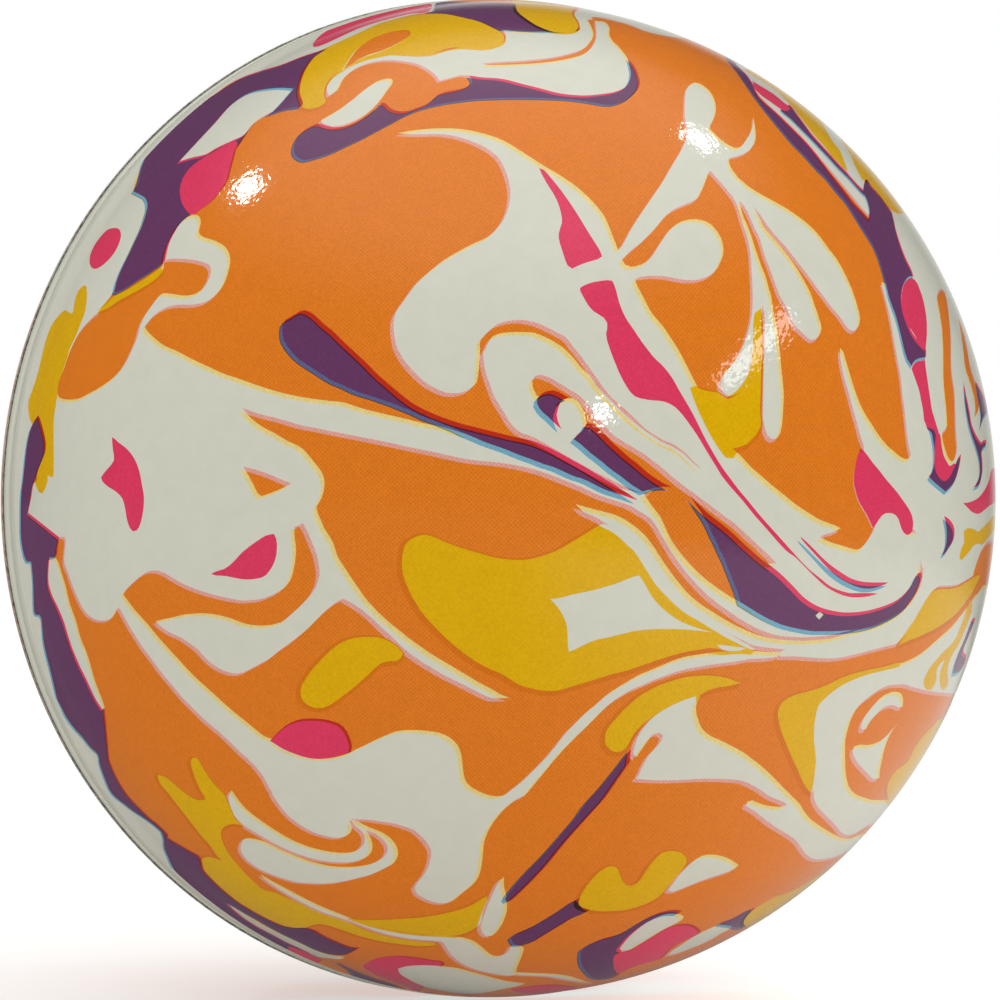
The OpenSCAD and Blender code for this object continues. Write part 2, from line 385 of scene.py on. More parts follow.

# Each outline: how it is printed, then its points, "!" after a sharp corner. They were read off
# the photograph, in its pixels. White, orange and purple lie where the cyan or yellow plate prints them,
# yellow and pink where the magenta one does. An edge that shows only at the other plate was read there
# and moved by the plates' misfit, 3.5 pixels.
FRONT_PRINT = (
    ("purple", "626,60 633,68 637,78 638,86 634,94 626,101 618,105 608,107 598,106 580,103 560,101 "
     "520,100 480,101 460,103 440,106 420,111 405,117 390,125 375,133 360,141 345,148 330,155 "
     "315,160 303,163 296,161 291,155 292,146 297,137 306,130 316,126 322,128 332,130 346,128 "
     "360,121 372,112 380,104 388,111 398,114 410,112 425,105 432,100 440,95 462,90 470,84 470,76 "
     "520,80 580,90 612,88 624,78 624,62"),
    ("purple", "425,5! 450,3 480,2 512,4 516,8 528,20 545,28 578,28 578,32 560,34 540,33 520,32 "
     "500,31 493,33 480,27 465,22 445,18 425,18!"),
    ("white", "326,98! 324,90 328,82 336,74 345,68 355,63 370,58 385,55 410,55 430,55 445,52 465,48 "
     "485,48 497,46 503,42 503,34 500,31! 520,33 540,33 560,33 578,31! 577,22 573,16 575,12! "
     "580,8 590,4 700,38 680,38 650,33 625,24 600,18 590,18 597,22 603,22 608,28 608,36 611,42 "
     "617,48 622,54 626,60 628,68 629,76 627,84 622,90 "
     "612,94 600,96 585,97.5 570,97 555,95 540,91 520,86 500,81 480,79.5 470,78 459,77! 437,83! "
     "433,77 425,71 415,66 400,63 385,62 370,64 358,68 348,74 340,82 335,92"),
    ("orange", "586,20! 590,28 592,36 588,44 580,51 565,56 545,60 520,62.5 495,64 480,65.5! 485,67 "
     "520,66 545,64 568,60 583,55 592,46 595,36 594,20!"),
    ("orange", "326,103 335,95 342,84 352,73 365,66 385,63 405,64 420,69 432,77 437,87 435,96 "
     "428,104 418,109 405,113 395,112 387,108 381,101 375,110 350,120 326,115"),
    ("white", "389,81 390,85 385,92 378,102 370,111 358,120 345,126 332,129 322,127 318,123 "
     "325,119 338,111 350,102 362,92 374,84 383,81"),
    ("white", "325,50! 300,58 280,66 240,80 210,100 185,119 160,142 141,167 131,194! 143,201 145,209 "
     "139,230 127,256 112,294! 100,311 85,330 58,400 38,420 30,440 30,560 45,640 60,700 75,730 99,757! "
     "102,762 105,772 110,783 118,794 127,803 136,811 146,819 155,826 163,838! 166,850 170,859 180,870 "
     "190,880 200,889 215,900 230,911 245,921 260,931 275,938 290,945! 300,975 250,965 190,930 "
     "130,880 80,820 40,740 0,640 -25,500 -20,380 20,240 100,110 200,30 300,-15 "
     "400,-40 440,-20 432,12! 400,18 370,30 345,42 327,50!"),
    ("yellow", "516,6 516,-4 575,-4 572,10 573,16 577,22 578,28 572,32 555,32 540,27 528,20 518,12"),
    ("yellow", "325,49! 340,42 360,33 380,24 400,18 425,14 445,14 465,18 480,22 493,28 503,34 "
     "503,42 495,46 485,48 465,47 450,48 440,51 428,54 410,54 395,53 386,54 368,58 352,64 342,70 "
     "333,76 326,85 324,95 326,102 318,107 308,109 300,105 297,95 299,82 304,70 313,58"),
    ("orange", "341,71! 345,65 349,59 354,52 361,46 370,40 380,36 390,33 400,31.5 407,32 408,36 "
     "403,40 395,45 385,50 375,54 365,57 355,62 348,67"),
    ("purple", "325,50 315,53 300,58 280,66 260,72 240,80 210,100 200,108 185,119 172,130 160,142 "
     "148,156 141,167 138,177 136,185 131,194! 137,197! 143,201 145,209 143,218 139,230 133,243 "
     "127,256 120,270 115,282 112,294 113,296 125,290 137,282 148,275 158,268 162,265 163,258 "
     "166,248 171,237 178,226 185,219 195,211 203,200 215,180 235,150 255,122 270,116 285,111 "
     "300,108 297,95 299,82 304,70 313,58"),
    ("pink", "313,46 314,42 320,37 335,30 355,22 380,13 400,8 420,5 432,6 427,12 410,14 385,20 "
     "360,28 340,37 325,44 316,47"),
    ("white", "177,164! 190,160 203,157 215,150 230,143 242,137 252,125 262,118 270,114 278,106 "
     "285,98 291,91! 280,90 265,91 250,94 238,100 226,110 213,125 200,139 187,153"),
    ("pink", "203,158 215,151 228,144 237,141 236,150 232,165 228,180 220,192 210,203 200,210 "
     "193,215 186,210 181,200 180,188 184,176 192,166"),
    ("pink", "113,228 119,229 121,236 118,246 112,256 103,265 95,269 90,265 90,256 94,246 101,236 "
     "107,230"),
    ("white", "163,262 166,248 171,237 178,226 185,220 192,218 196,219 198,225 196,235 200,240 "
     "212,244 222,250 227,260 226,272 221,287 213,298 203,305 190,308 175,308 163,311 152,318 "
     "146,325 142,330! 147,337 160,348 175,355 190,363 205,370 220,377 235,382 250,387.5 270,394 "
     "290,399 310,402.5 330,405 340,406 360,412.5 380,417.5 400,422 420,427 440,431 460,437 "
     "480,441 500,447 520,453 540,459 560,467 580,475 600,485 620,493 640,497! 645,505 650,512 "
     "657,521 661,530 666,541 673,552 681,562 690,572 702,583 714,592 726,600 735,605 745,611 "
     "755,617 775,626 800,632 830,634 855,632 826.5,639 816.5,640 801.5,641 786.5,640.5 "
     "771.5,638.5 756.5,633.5 746.5,628.5 734.5,621.5 724.5,614.5 714.5,607.5 704.5,599.5 "
     "694.5,589.5 684.5,578.5 676.5,568.5 669.5,558.5 663.5,548.5 657.5,538.5 652.5,529.5 "
     "646.5,522 636.5,515.5 626.5,509.5 616.5,506 596.5,499.5 576.5,490.5 556.5,482.5 536.5,475 "
     "516.5,470 496.5,466.5 466.5,463.5 446.5,459.5 426.5,455 406.5,451 386.5,446.5 366.5,442.5 "
     "346.5,438.5 336.5,436.5 316.5,432.5 296.5,428.5 276.5,422.5 256.5,417.5 239,411.5! 241,414 "
     "247,421 255,427.5 262.5,432.5 270,436 277.5,440.5 286,445.5 296,450 304,457.5 310,465 "
     "316,472.5 320,480 321,487.5 320,495 317.5,502.5 313,510! 314,516 317.5,524 321,532.5 "
     "326,540 330,547.5 334,560 341,571 348,582 355,592 362,602 370,611 378,619 387,627 397,635 "
     "407,643 417,650 427,657 437,663 447,669 457,675 467,681 477,687 487,692 497,698 506,701! "
     "488.5,701.5 478.5,697.5 468.5,692.5 458.5,687.5 448.5,682.5 438.5,677.5 428.5,671.5 "
     "418.5,665.5 408.5,658.5 398.5,650.5 388.5,640.5 378.5,631.5 370.5,623.5 362.5,616.5 "
     "354.5,610.5 346.5,605.5 340,602! 335,604 328,609 320,616 312,624 305,631 298,637 288,645 "
     "278,652 268,660 258,666 250,670 245,673 236,676 226,675 218,672 210,667 202,660 195,652 "
     "187,646 178,640 167,635 157,628 153,624! 160,622 170,620 180,617.5 190,616.5 200,616 "
     "210,617 220,619 230,622 240,626 250,628 262,628.5 272,627 280,624 287,618 295,611 303,603 "
     "310,594.5 314,586 316,577 315,567 312.5,556 307.5,543.5 302.5,532 299,526.5! 296,529 "
     "291,530! 291,540 292.5,550 292,561 290.5,571 288,581 284,587.5 279,592.5 270,597.5 "
     "260,601.5 250,603 240,603.5 230,602 220,600 210,597.5 200,594.5 193,592 183,588 172,582 "
     "162,576 155,573.5 146,574 138,579 130,586 124,592 121,597! 126,604 132,612 140,621 148,630 "
     "156,640 165,650 175,661 185,672 195,682 205,691 216,701 227,711 238,720 249,729 260,738 "
     "272,747 272,790 268.5,793.5 261.5,780.5 253.5,769.5 244.5,760.5 234.5,751.5 224.5,741.5 "
     "214.5,732.5 202.5,722.5 191.5,711.5 180.5,700.5 170.5,688.5 160.5,676.5 151.5,664.5 "
     "142.5,652.5 134.5,640.5 126.5,627.5 120.5,616.5 116.5,609.5! 114.5,612.5 110.5,619.5 "
     "104.5,622.5 96.5,622.5 89.5,619.5 82.5,612.5 76.5,601.5 71.5,589.5 66.5,575.5 62.5,563.5 "
     "64,541 58,540! 27,515! 30,500 32,487 36,482 45,462 48,440 50,420 54,402 58,375 70,350 "
     "85,330 100,311 120,300 150,283"),
    ("orange", "163,263 180,262 195,264 206,268 208,276 203,288 195,296 183,299 168,297 159,297 "
     "152,305 143,318 138,328 135,340 130,352 122,368 112,380 100,389 88,396 75,402 62,402 "
     "56,398 57,385 62,372 66,360 70,350 76,338 84,327 95,317 105,310 120,300 135,292 150,283 "
     "160,275"),
    ("yellow", "100,311 108,302 113,297 125,291 140,282 155,272 163,266 160,275 150,283 135,292 "
     "120,300 108,308"),
    ("yellow", "85,286 80,290 77,300 75,312 70,314 65,311 58,318 52,328 48,340 44,355 40,372 "
     "35,388 31,400 31,412 34,421 41,430 44,443 44,453 41,462 37,472 37,480 39,486 42,490 45.5,484 "
     "47,477 46,469! 53,474! 53,460 53,420 55,405 58,385 62,370 66,358 70,345 76,333 80,322 84,312 "
     "86,300 86,290"),
    ("purple", "37,418 34,422 29,432 26,445 24,460 22,480 20,500 20,535 22,552 24,560 26,564 "
     "30,564 31,572 32,585 33,612 36,617 40,618 42,640 45,655 49,670 53,685 57,700 60,706 66,718 "
     "74,730 82,739 89,748 97,756 99,767 107,787 114,797 122,804 131,811 140,817 148,822.5 "
     "155,828 161,834 163,840! 167,836 162,830 155,823.5 147,817 133,803 126,795 120,786 "
     "115,777 111,768 108,760 107,750 106,740 105,730 "
     "104,720 103,711! 95,702 90,691 83,676 76,661 70,648 66,631 61,617 56,608 50,595 47,582 "
     "48,560! 55,558 56,550 58,540! 27,515! 30,500 32,487 35,480 37,472 41,462 44,453 44,443 "
     "41,430 38,420"),
    ("white", "48,560! 54,560! 57,565 60,575 64,588 68,605 74,622 79,640 84,652 88,664 92.5,680 "
     "96,690 100,700 103,709! 101,711! 95,702 90,692 85,681 80,671 75,660 70,647 66,635 62,622 "
     "56,608 50,595 47,582"),
    ("pink", "112,437 118,442 127,449 134,458 139,470 142,485 144,498 143,512 140,525 136,531 "
     "131,530 127,520 125,508 122,498 115,491 107,486 101,479 104,473 110,466 114,460 113,450"),
    ("orange", "240,470! 252,473 264,477 276,482 288,487! 277,492.5 267,496.5 258,499.5 255,498 "
     "251,490 247,482"),
    ("pink", "211,574! 217,571 224,569 230,565 236,559 242,552.5 250,546 260,539 267,535 274,534! "
     "276,538 277,545 276,557 272,567 265,576 255,579 245,579.5 235,578 225,576 216,575.5"),
    ("white", "395,136! 405,134 420,132 440,131 460,132 480,136 500,143 520,155 540,168 560,180 "
     "580,195 600,217 610,240 615,253! 620,248 627,235 633,225 645,207 652,197 662,182 670,168 "
     "678,155 685,140 685,130 683,118 684,95 688,87 694,84 702,87 710,95 714,105 714,115 711,123 "
     "708,130 712,135 722,144 733,150 740,148 746,140 751,130 752,118! 754,130 754,142 749,151 "
     "742,156 733,159 727,161 729,170 736,180 747,203 738,204 731,200 724,191 716,182 708,173! "
     "706,177 700,192 694,202 683,207 670,213 662,220 652,232 640,244 628,254 619,263! 622,268 "
     "630,270 642,266 650,258 658,246 667,233 678,225 692,222 705,225 713,232 719,242 721,255 "
     "716,269 708,278 695,283 680,283 665,280 650,279 640,280 632,283 640,300 649,317 660,330 "
     "668,342 675,353 684,370 689,380 693,388 699.5,400 704,410 709,420 714,430 720,440 727,450 "
     "737,459 747,470 758.5,480 770,490 782.5,500 791,507 803,515 815,522.5 825,526.5 832,529 "
     "838,532! 830,536 822,538 817,541! 828,546 838,549 848,552 855,553.5 860,550 865,544 "
     "870,536 873,529! 880,518 889,513 898,518 905,534 915,540 918,575 905,598 880,615 850,622 "
     "820,618 800,602 780,583 760,563 745,552 730,540 716,525 702,512 690,500 680,492 660,488 "
     "640,497 600,480 560,458 530,441 521.5,438.5 513,433.5 506.5,426.5 500.5,416.5 495.5,408.5 "
     "490.5,400 487.5,391.5 484,382 481.5,374 480,364 479.5,356 480,348 477,346 476.5,353 "
     "476,363 475,375 473,386 467,392 459,396 450,397 441,396 432,392 423,387 415,380 408,373 "
     "402,366 397,358 393,350 391,340 390,330 391,320 395,312 400,305 405,298 413,287 425,276 "
     "440,264 455,255 470,247 485,240 497,228 504,215 507,202 507,190 503,175 495,160 480,149 "
     "460,141 440,137 420,137 410,137"),
    ("purple", "279,333 280,326 284,322 290,319 296,315 301,313.5 307.5,316 314,321 321,328 "
     "327.5,333 334,339 340,345 347.5,352 355,359 362.5,366 370,374 377.5,381 385,387.5 "
     "392.5,394 401,401 410,407.5 420,413 430,417.5 440,421.5 450,425 460,428 470,430.5 480,433 "
     "490,435.5 500,438 510,440.5 520,442.5 530,445 540,449 550,453.5 560,459 570,464.5 580,470 "
     "590,476 600,482 610,488 620,494.5 630,501 634,504! 630,503 620,499.5 610,496.5 600,493 "
     "590,488 580,483 570,480 560,475.5 550,471 540,468 530,464 520,460.5 510,456.5 500,452.5 "
     "490,449 480,445.5 470,441 460,437 450,432 440,428 430,424 420,420.5 411,416 401,412 "
     "390,407.5 380,404 370,400.5 360,397.5 350,394 340,389 330,385 320,379 310,372.5 300,366 "
     "292.5,360 286,352.5 281,345 279,338"),
    ("white", "736,180 748,190 765,200 783,210 798,220 810,230 819,240 826,250 834,260 840,270 "
     "845,280 849.5,290 853,300 856,310 858,318 858,325 855,332 849,334 844,329 838,320 "
     "829.5,310 822,300 814.5,290 807.5,280 799.5,270 792,260 784,250 775,240 766.5,230 760,220 "
     "753,211 747,203! 735,185"),
    ("white", "738,204! 743,210 748,220 752,230 757,240 760,250 763,260 767,270 770.5,280 "
     "774,290 778,300 784,310 788,320 793,330 798,334 803,339 808,343 812,343 816,340 819,334 "
     "819,328 817,322 815,315 813,310 810,300 805.5,290 800,280 794,270 787,260 779,250 "
     "770.5,240 762,230 757,220 752,210 747,203!"),
    ("white", "716,182 724,191 731,200 735,208 738,218 741,228 745,240 748,255 749,270 750,290 "
     "750,310 748,325 744,340 739,353 732,365 724,374 719,382 717,390 720,396! 727,400 735,397 "
     "741,391 747,384 752,375 756,365 758,350 758,335 759,320 760,308! 762,320 762,345 761,375 "
     "760.5,395 760,420 761,427 762.5,434 765,440 770,443 775,441 778,434 779.5,425 780.5,410 "
     "781,400 780.5,390 779.5,380 778.5,370 777.5,358 776,345 774,330 771,315 769,300 766,290 "
     "763.5,280 759.5,270 756,260 752.5,250 749.5,240 746,230 741.5,220 738.5,210 737,203!"),
    ("orange", "477,356 476.5,345 481.5,338.5 486.5,333.5 494.5,327.5 503,325 513,323.5 "
     "524.5,324.3 536.5,327.5 546.5,332.5 554.5,336.5 563,341.5 569.5,350 576.5,358.5 583,367.5 "
     "589.5,376.5 596.5,386.5 606,399 618,410 630,421 640,431 650,438 660,444 670,448 680,455 "
     "690,465 698,473! 690,467 680,457.5 670,451 660,446.5 650,440.5 640,433.5 628,424 616,413 "
     "604,401 594,391 586.7,380 578,371.7 570,361.7 560,351.7 550,345 541.7,340.8 531.7,336.7 "
     "520,335.8 506.7,335.8 495,337.5 488,341 484,348 480,357"),
    ("orange", "529,390 529,383 532,379.5 537,378.5 546.5,381.5 556.5,387.5 566.5,393.5 576.5,400 "
     "584,408 592,418 600,428 608.5,437.5 616.5,443.5 628.5,450.5 641.5,458.5 654.5,468.5 "
     "666.5,478.5 678.5,488.5 688.5,495.5 696.5,501.5 708.5,510.5 720.5,519.5 732.5,528.5 "
     "744.5,539.5 756.5,550.5 766,559.5 773,567! 760,566 740,549 720,531 700,516 690,504! "
     "680,500 660,495 645,494! 640,485 620,462 600,445 588,434 583,427! 582,420 579,412 575,406 "
     "571,402.5 567,401.5 562,403! 552,408 542,404 534,400"),
    ("purple", "534,402 538,397.5 543,395 550,394 557,396.5 563,400.5 565,401! 559,403.5 556,408 "
     "554,414 553,420 555,427 558,433! 552,428 546,422 540,417 535,411 533,406"),
    ("purple", "570,443! 574,438 579,434 583,427! 585,425.5 592,430 600,437 608,445.5 616.5,453 "
     "625.5,461 634.5,468 643,475.5 652,482 660,487 668,491! 660,490.5 650,492 639,495.5! "
     "627,488 617,480 607,473 597,464.5 587,457 577,448"),
    ("purple", "686,499! 692,505 700,513 710,521.5 720,529 730,537.5 740,547 750,556 760,564.5 "
     "770,571.5 780,580 790,590 800,600.5 810,607.5 820,612 830,614.5 840,616 850,616 860,615 "
     "870,613 880,610 890,606 898,601 905,594 910,587 913,580 915,577 919,576! 920,581 917,589 "
     "914,596 909,603 904,610 897,616 889,621 879,626 870,629.5 860,632 850,633.5 840,634.5 "
     "830,635 820,635 810,635 800,633.5 790,631.5 780,629 770,625 760,620 753,616 745,611 "
     "737,606! 733,593 729,583 725,573 721,563 717,555 713,546 708,536 704,527 698,517 692,508"),
    ("pink", "539,168 544,170 552,179 560,189 568,200 576,212 584,225 592,238 599,249 602,257 "
     "595,260 585,263 575,267 570,269 566,262 562,250 559,240 559,232 562,222 561,213 558,203 "
     "553,193 546,182"),
    ("pink", "580,288 590,283 600,281 610,280 613,282 616,290 618.5,300 622,310 627,320 634,330 "
     "640.5,340 648,350 654,357.5 662,365 668,372 673.5,380 679,390 685,400 690.8,410 696,420 "
     "701,430 706,440 711.7,450 717.5,460 724,470 731.5,480 739,490 747.5,500 755.5,510 764,520 "
     "773,530 782,540 791,550 800,560 810,570 820,578 830,586 840,590.5 850,593 860,593 870,593 "
     "878,593.5! 868,596.5 855,597.5 845,596 835,592 825,586 815,577 805,567 795,557 787,551.5 "
     "777,541 768,530.5 759,520.5 750.5,510.5 742.5,500.5 735,492 729,485 721.5,475.5 "
     "715.5,465.5 709,455 703,445 697,435 690,425 685,418 680,412 675,407 668,403 661,401 "
     "653,400.5 643,399 635,396.5 630,391.5 625,384 619.5,373.5 616,365 612,355 608.5,345 "
     "606,335 607.5,325 604,318 592,310 585,300 582,294"),
    ("purple", "797,540! 805,547 812,554 820,562 828,569 838,576 848,582 858,585 868,586 878,586 "
     "886,586! 880,589 870,592 860,592 850,589 840,584 830,577 820,567 810,556 800,545"),
    ("yellow", "760,308! 758,320 757.5,335 757,350 755,365 752,375 747,384 741,391 735,396 "
     "727,399 719,393 710,391.5 703,390 698,388 695,386! 697,392 700,400 704,410 709,420 714,430 "
     "720,440 727,450 732,455! 731,449! 739,447 747,444 752,439 757,433 760,428 761,424 760,410 "
     "760.5,395 761,375 762,345 761,320"),
    ("yellow", "405,545 410,540 418,536 427,535 436,538 445,542 455,546 465,549 475,552 485,555 "
     "497,558 510,559.5 522,560 535,558 548,554 560,549 570,543 580,537 590,531 598,526 "
     "603,524! 620,530 650,560 680,600 720,628 755,649! 748,652 735,652 712,648 700,649.5 "
     "685,652 670,656 655,661 640,666 625,671 612,674 600,678 590,681 580,684 570,687 560,690 "
     "550,691 540,690 530,688 520,685 510,679 500,673 490,669 484,666 472,659 460,650 448,640 "
     "438,630 429,621 421,611 414,600 408,588 404,578 402,568 402,560 403,552"),
    ("white", "572,508! 590,513 600,515.5 612,519 622,524 632,531 641,539 649,549 656,560 664,572 "
     "673,584 684,597 697,608 711,617 725,625.5 740,633 755,639 770,642.5 785,644 800,644.5 "
     "815,643.5 830,641.5 845,637 855,634 870,631 880,627 890,622 900,615 910,604 918,590 "
     "921,578 925,570 975,575 970,580 965,583 960,586 955,588 948,589 942,589 936,590 932,594 "
     "928,600 924,607 920,614 916,621 911,628 907,634 903,639 899,643 895,647 887,649 875,652 "
     "862,655.5 850,658.5 835,661.5 820,662 805,661 790,660 775,660 776,655.5 785,653 775,652.5 "
     "765,651.5 752,649.5 745,647 735,642 725,637 716,631.5! 710,628 697,620 685,613 674,604 "
     "665,595 656,585 650,576 645,568 640,560 634,551 628,546 620,538 612,532 606,529! "
     "603.5,528.5 596.5,523.5 588.5,519.5 579.5,515.5"),
    ("white", "550,599! 560,598 575,594 590,591 605,587 618,583 630,578 639,575.5! 643,581 "
     "648,590 653,598 660,606 668,613 678,620 690,625.5 702,629.5 713,632.5! 705,631.5 692,630 "
     "675,629 660,629 648,629.5 635,631 622,634 610,637 600,639 590,642 580,647 569,652! "
     "568,645 567.5,635 567,627 565,620 561,612 556,605"),
    ("white", "717,645! 722,645 730,646 738,647 746,648! 742,650 735,651 727,651 721,649"),
    ("white", "508,792! 516,786 524,779 532,771 540,763 548,754 556,744 563,735 572,726 582,716 "
     "592,708 602,699 612,692 622,686 634,679 646,674 658,669 670,664 682,660 695,658 710,656 "
     "725,655 740,654 755,655 768,656 776,655.5! 775,660 760,662 745,662.5 740,664 725,666 "
     "710,668 698,670 686,672 674,675 662,679 650,683.5 640,688 630,692 620,697.5 610,704 "
     "600,712.5 592,720.5 582,730.5 572,740 562,750 552,761 542,773 532,785 520,799 514,801 "
     "500,812 490,824 484,834 480,845 479,855 478,865 476,875 472,883 466,889 457,896 448,903 "
     "438,905 428,903 420,899.5 413,895 411,889! 415,883 420,877 424,870 426.5,862 427.5,856 "
     "426.5,850 422.5,844 416.5,837.5 409.5,832 400,828.5 390,825.5 379,824 367,822 355,821.5 "
     "346,821! 348.5,831.5 345.5,835.5 341.5,838.5 331.5,839.5 321.5,837.5 311.5,834.5 "
     "301.5,829.5 292.5,823.5 283.5,815.5 275.5,805.5 268.5,793.5 266,770 270,745! 283,752 "
     "295,757 308,760 322,761 335,759 345,756 352,752! 360,748.5 370,743.5 380,739 390,735 "
     "400,733 412,733 425,734 436,736 445,740 452,746 456,753 458,762 459,772 461,782 466,789 "
     "475,794 485,798 495,799 502,797"),
    ("white", "346,821! 355,824 365,829 375,833 384,838 391,845 394,852 394,858 390,865 383,869 "
     "375,873 366,876.5 354,879.5 341,882.5 326,884.5 311,884.5 296,883.5 284,880.5 272,876.5 "
     "260,871.5 250,865.5 242,858.5 238,851 239,844 242,840 248,839.5 255,841 262,843 270,847 "
     "280,852 292,857 304,861.5 316,865 328,867.5 342,868.5 354,868 366,866 374,863 380,859 "
     "384,853 383,846 377,839 368,834 360,832 352,828"),
    ("white", "229,792! 233,798 239,806 246,813 255,820 265,827 275,833.5 286,840 297,845 "
     "308,849 320,852 332,854 343,854.5 352,853 358,849 361,844 361,838 358,833 353,829 346,821! "
     "355,826 362,832 367,840 369,848 367,855 361,860 352,863 342,864 330,863.5 318,862 306,859 "
     "294,855 282,850 270,844 258,837 246,830 238,824 231,816 227,807 226,798"),
    ("yellow", "403,653 401,658 397,661 390,661 382,663 375,668 368,675 360,682 352,689 344,695 "
     "336,701 328,706 320,708 312,707 305,703 301,697 301,688 305,680 312,670 320,661 328,653 "
     "336,646 345,641 355,638 365,637 375,637 384,639 392,643 399,648"),
    ("yellow", "606,745 605,738 607,730 613,722 620,714 628,706 637,698 648,691 660,685 672,681 "
     "684,677.5 696,676 708,675.5 720,676.5 730,679 740,683! 728,686 715,688 705,692 697,697 "
     "688,699 678,703 668,708 658,713 650,719 643,724 637,730 632,737 628,745 624,750 618,752 "
     "612,751"),
    ("pink", "270,741! 276,734 284,727 292,722 302,719 312,718.5 322,719 332,721 340,724 346,730 "
     "350,738 352,746 351,752! 345,754 335,757 322,759 308,758 295,754 283,749 275,744"),
    ("yellow", "158,775 165,777 173,783 181,790 189,796 197,800 202,800! 206,799 202,793 198,785 "
     "194,775 191,765 191,760 195,757 199,761 203,768 208,776 214,784 220,790 225,796 228,803 "
     "231,810 234,817 238,822 243,826 236,824 228,825 222,829 221,836 224,845 229,854 236,863 "
     "244,872 253,881 262,890 245,881 230,868 218,857 213,850 208,843 203,838 196,829 189,820 "
     "182,811 175,802 168,793 162,786 158,779"),
    ("yellow", "200,862 206,857 214,858 224,862 235,870 248,880 262,889 276,893 290,899 305,906 "
     "320,913 335,918 350,923 360,928 380,934.5 400,939 420,941.5 436,943 436,945 420,946 "
     "400,944 380,941 360,936 345,931 330,926 318,924 310,926! 303,928 293,928 282,926 270,921 "
     "258,915 246,908 235,901 225,893 216,885 208,877 202,870"),
    ("yellow", "350,919 362,920 380,920 400,919 420,917.5 440,914.5 455,911 470,906 480,900 "
     "487,896! 487,900 484,908 482,916 481,922 478,926 472,930 463,934 452,936 440,936 "
     "425,934.5 410,933 395,930.5 380,927.5 365,924"),
    ("white", "258,875! 266,880 275,885 290,893 305,901 320,908 335,914 350,920 365,925.5 "
     "380,929.5 400,933.5 420,936 440,937 455,938 467,941 474,945 480,950 486,955 491,957 "
     "497,957 502,955 506,951 509,946 518,948 520,950 518,957 515,964 513,969 511,976 500,976 "
     "488,974 475,971 464,967 455,962 448,956 443,949 440,944 436,942 420,941 400,938.5 380,934 "
     "360,927 350,923 335,918 320,913 305,906 290,898 275,889 262,880"),
    ("white", "500,879! 500,888 502,896 503,904 503,912 501,919 498,926 494,932 490,936 485,938 "
     "480,936 477,930 478,924 481,915 484,907 488,898 492,889 496,883"),
    ("purple", "160,833! 168,839 178,845 188,851 197,856 200,862 202,870 208,877 216,885 225,893 "
     "235,901 246,908 258,915 270,921 282,926 293,928 303,928 312,930 322,936 335,942 348,947 "
     "357,948! 350,952 342,955 328,954 315,950 300,943 285,936 270,928 258,921 245,914 230,905! "
     "240,914 255,923 270,932 285,940 300,948 310,954 290,948 275,943 260,935 245,927 230,918 "
     "215,908 200,896 190,886 180,875 172,866 167,858 163,849 162,839"),
    ("white", "225,903! 240,912 255,921 270,929.5 285,937 300,944 315,951 328,955 342,957! "
     "338,959 328,958 315,956 300,949 285,942 270,934 255,926 240,916"),
    ("pink", "288,946 300,950 310,954 322,960 314,960 300,954.5"),
    ("pink", "362,966! 370,961 380,957.5 392,956 405,956 418,957.5 430,959.5 445,963 430,975 "
     "420,990 405,986 390,981 375,975 365,969"),
    ("white", "395,969! 402,967 412,966 425,966 440,967 455,969 470,973 485,977 500,981 512,983 "
     "520,985 480,993 455,993 442,991 428,988 415,984 405,979 397,974"),
    ("purple", "335,962 350,969 370,977 390,983 410,989 430,992 430,994 410,992 390,986 370,980 "
     "350,972"),
    ("white", "510,973! 530,974 550,975 565,977 578,981 590,985! 560,980 545,977.5 530,976.5 "
     "515,976"),
    ("pink", "510,990 530,986 550,984.5 570,986 578,989 560,993 530,994"),
    ("purple", "627,752! 622,758 616,766 608,776 600,786 592,795 582,806 572,820 560,834 548,848 "
     "536,861 524,873 514,884 505,895 501,901! 504,905 508,902 520,891 532,879 545,865 558,849 "
     "570,835 580,824 590,813 600,802 608,791 617,778 626,765!"),
    ("purple", "507,940! 515,934 525,930 535,925 545,919 555,913 565,906 572,902 576,900! "
     "580,906 584,910 588,911! 580,915 570,919 560,925 550,931 540,937 530,943 520,946 512,947"),
    ("yellow", "579,905 580,898 584,890 590,882 597,874 605,868 612,866 617,868 620,874 622,880 "
     "625,884 630,886 636,884 641,879 646,871 652,863 658,856 664,852 672,851 680,852 685,856 "
     "687,862 683,868 678,875 672,882 666,889 660,896 650,902 640,906 625,910 610,911 597,911 "
     "587,909"),
    ("white", "664,893! 670,885 677,876 685,868 692,862 700,858 710,857.5 720,859.5 728,863 "
     "735,868! 728,873 713,878 698,883 683,889 670,894"),
    ("purple", "577,958 578,952 583,948 590,944 600,940 610,937.5 620,934 630,928 640,922 "
     "650,917 660,913.5 670,912 678,913! 672,917 650,925 625,945 616,955 614,965 617,974! "
     "612,978 600,980 590,979 583,973 578,966"),
    ("white", "616,951 620,945 626,938 633,932 641,926 650,921 660,917 668,916 676,916.5 "
     "680,919! 678,922 671,926 662,930 652,936 642,942 632,948 624,952"),
    ("pink", "613,962 615,955 622,952 632,949 642,943 652,937 662,931 672,926 680,924 690,924 "
     "697,927 701,931! 698,934 690,938 680,943 672,948 665,955 660,959 650,962 640,965 628,969 "
     "620,973 615,970"),
    ("white", "665,957! 668,953 676,948 685,942 695,936 705,931 715,927 724,925! 728,930 720,934 "
     "710,940 700,945 690,949 680,953"),
    ("purple", "715,926 730,920 745,912 752,911 745,919 743,928 735,930 727,928"),
    ("yellow", "745,925 745,919 752,911 762,904 775,897 790,892 805,884 815,878 840,866 820,890 "
     "790,915 760,932"),
    ("white", "629,757! 632,745 637,735 643,727 651,719 662,711 675,704 690,698 699,696 697,700 "
     "693,706 692,714 694,722 698,732 706,739 717,744 729,750 740,756 748,762 757,769 766,777 "
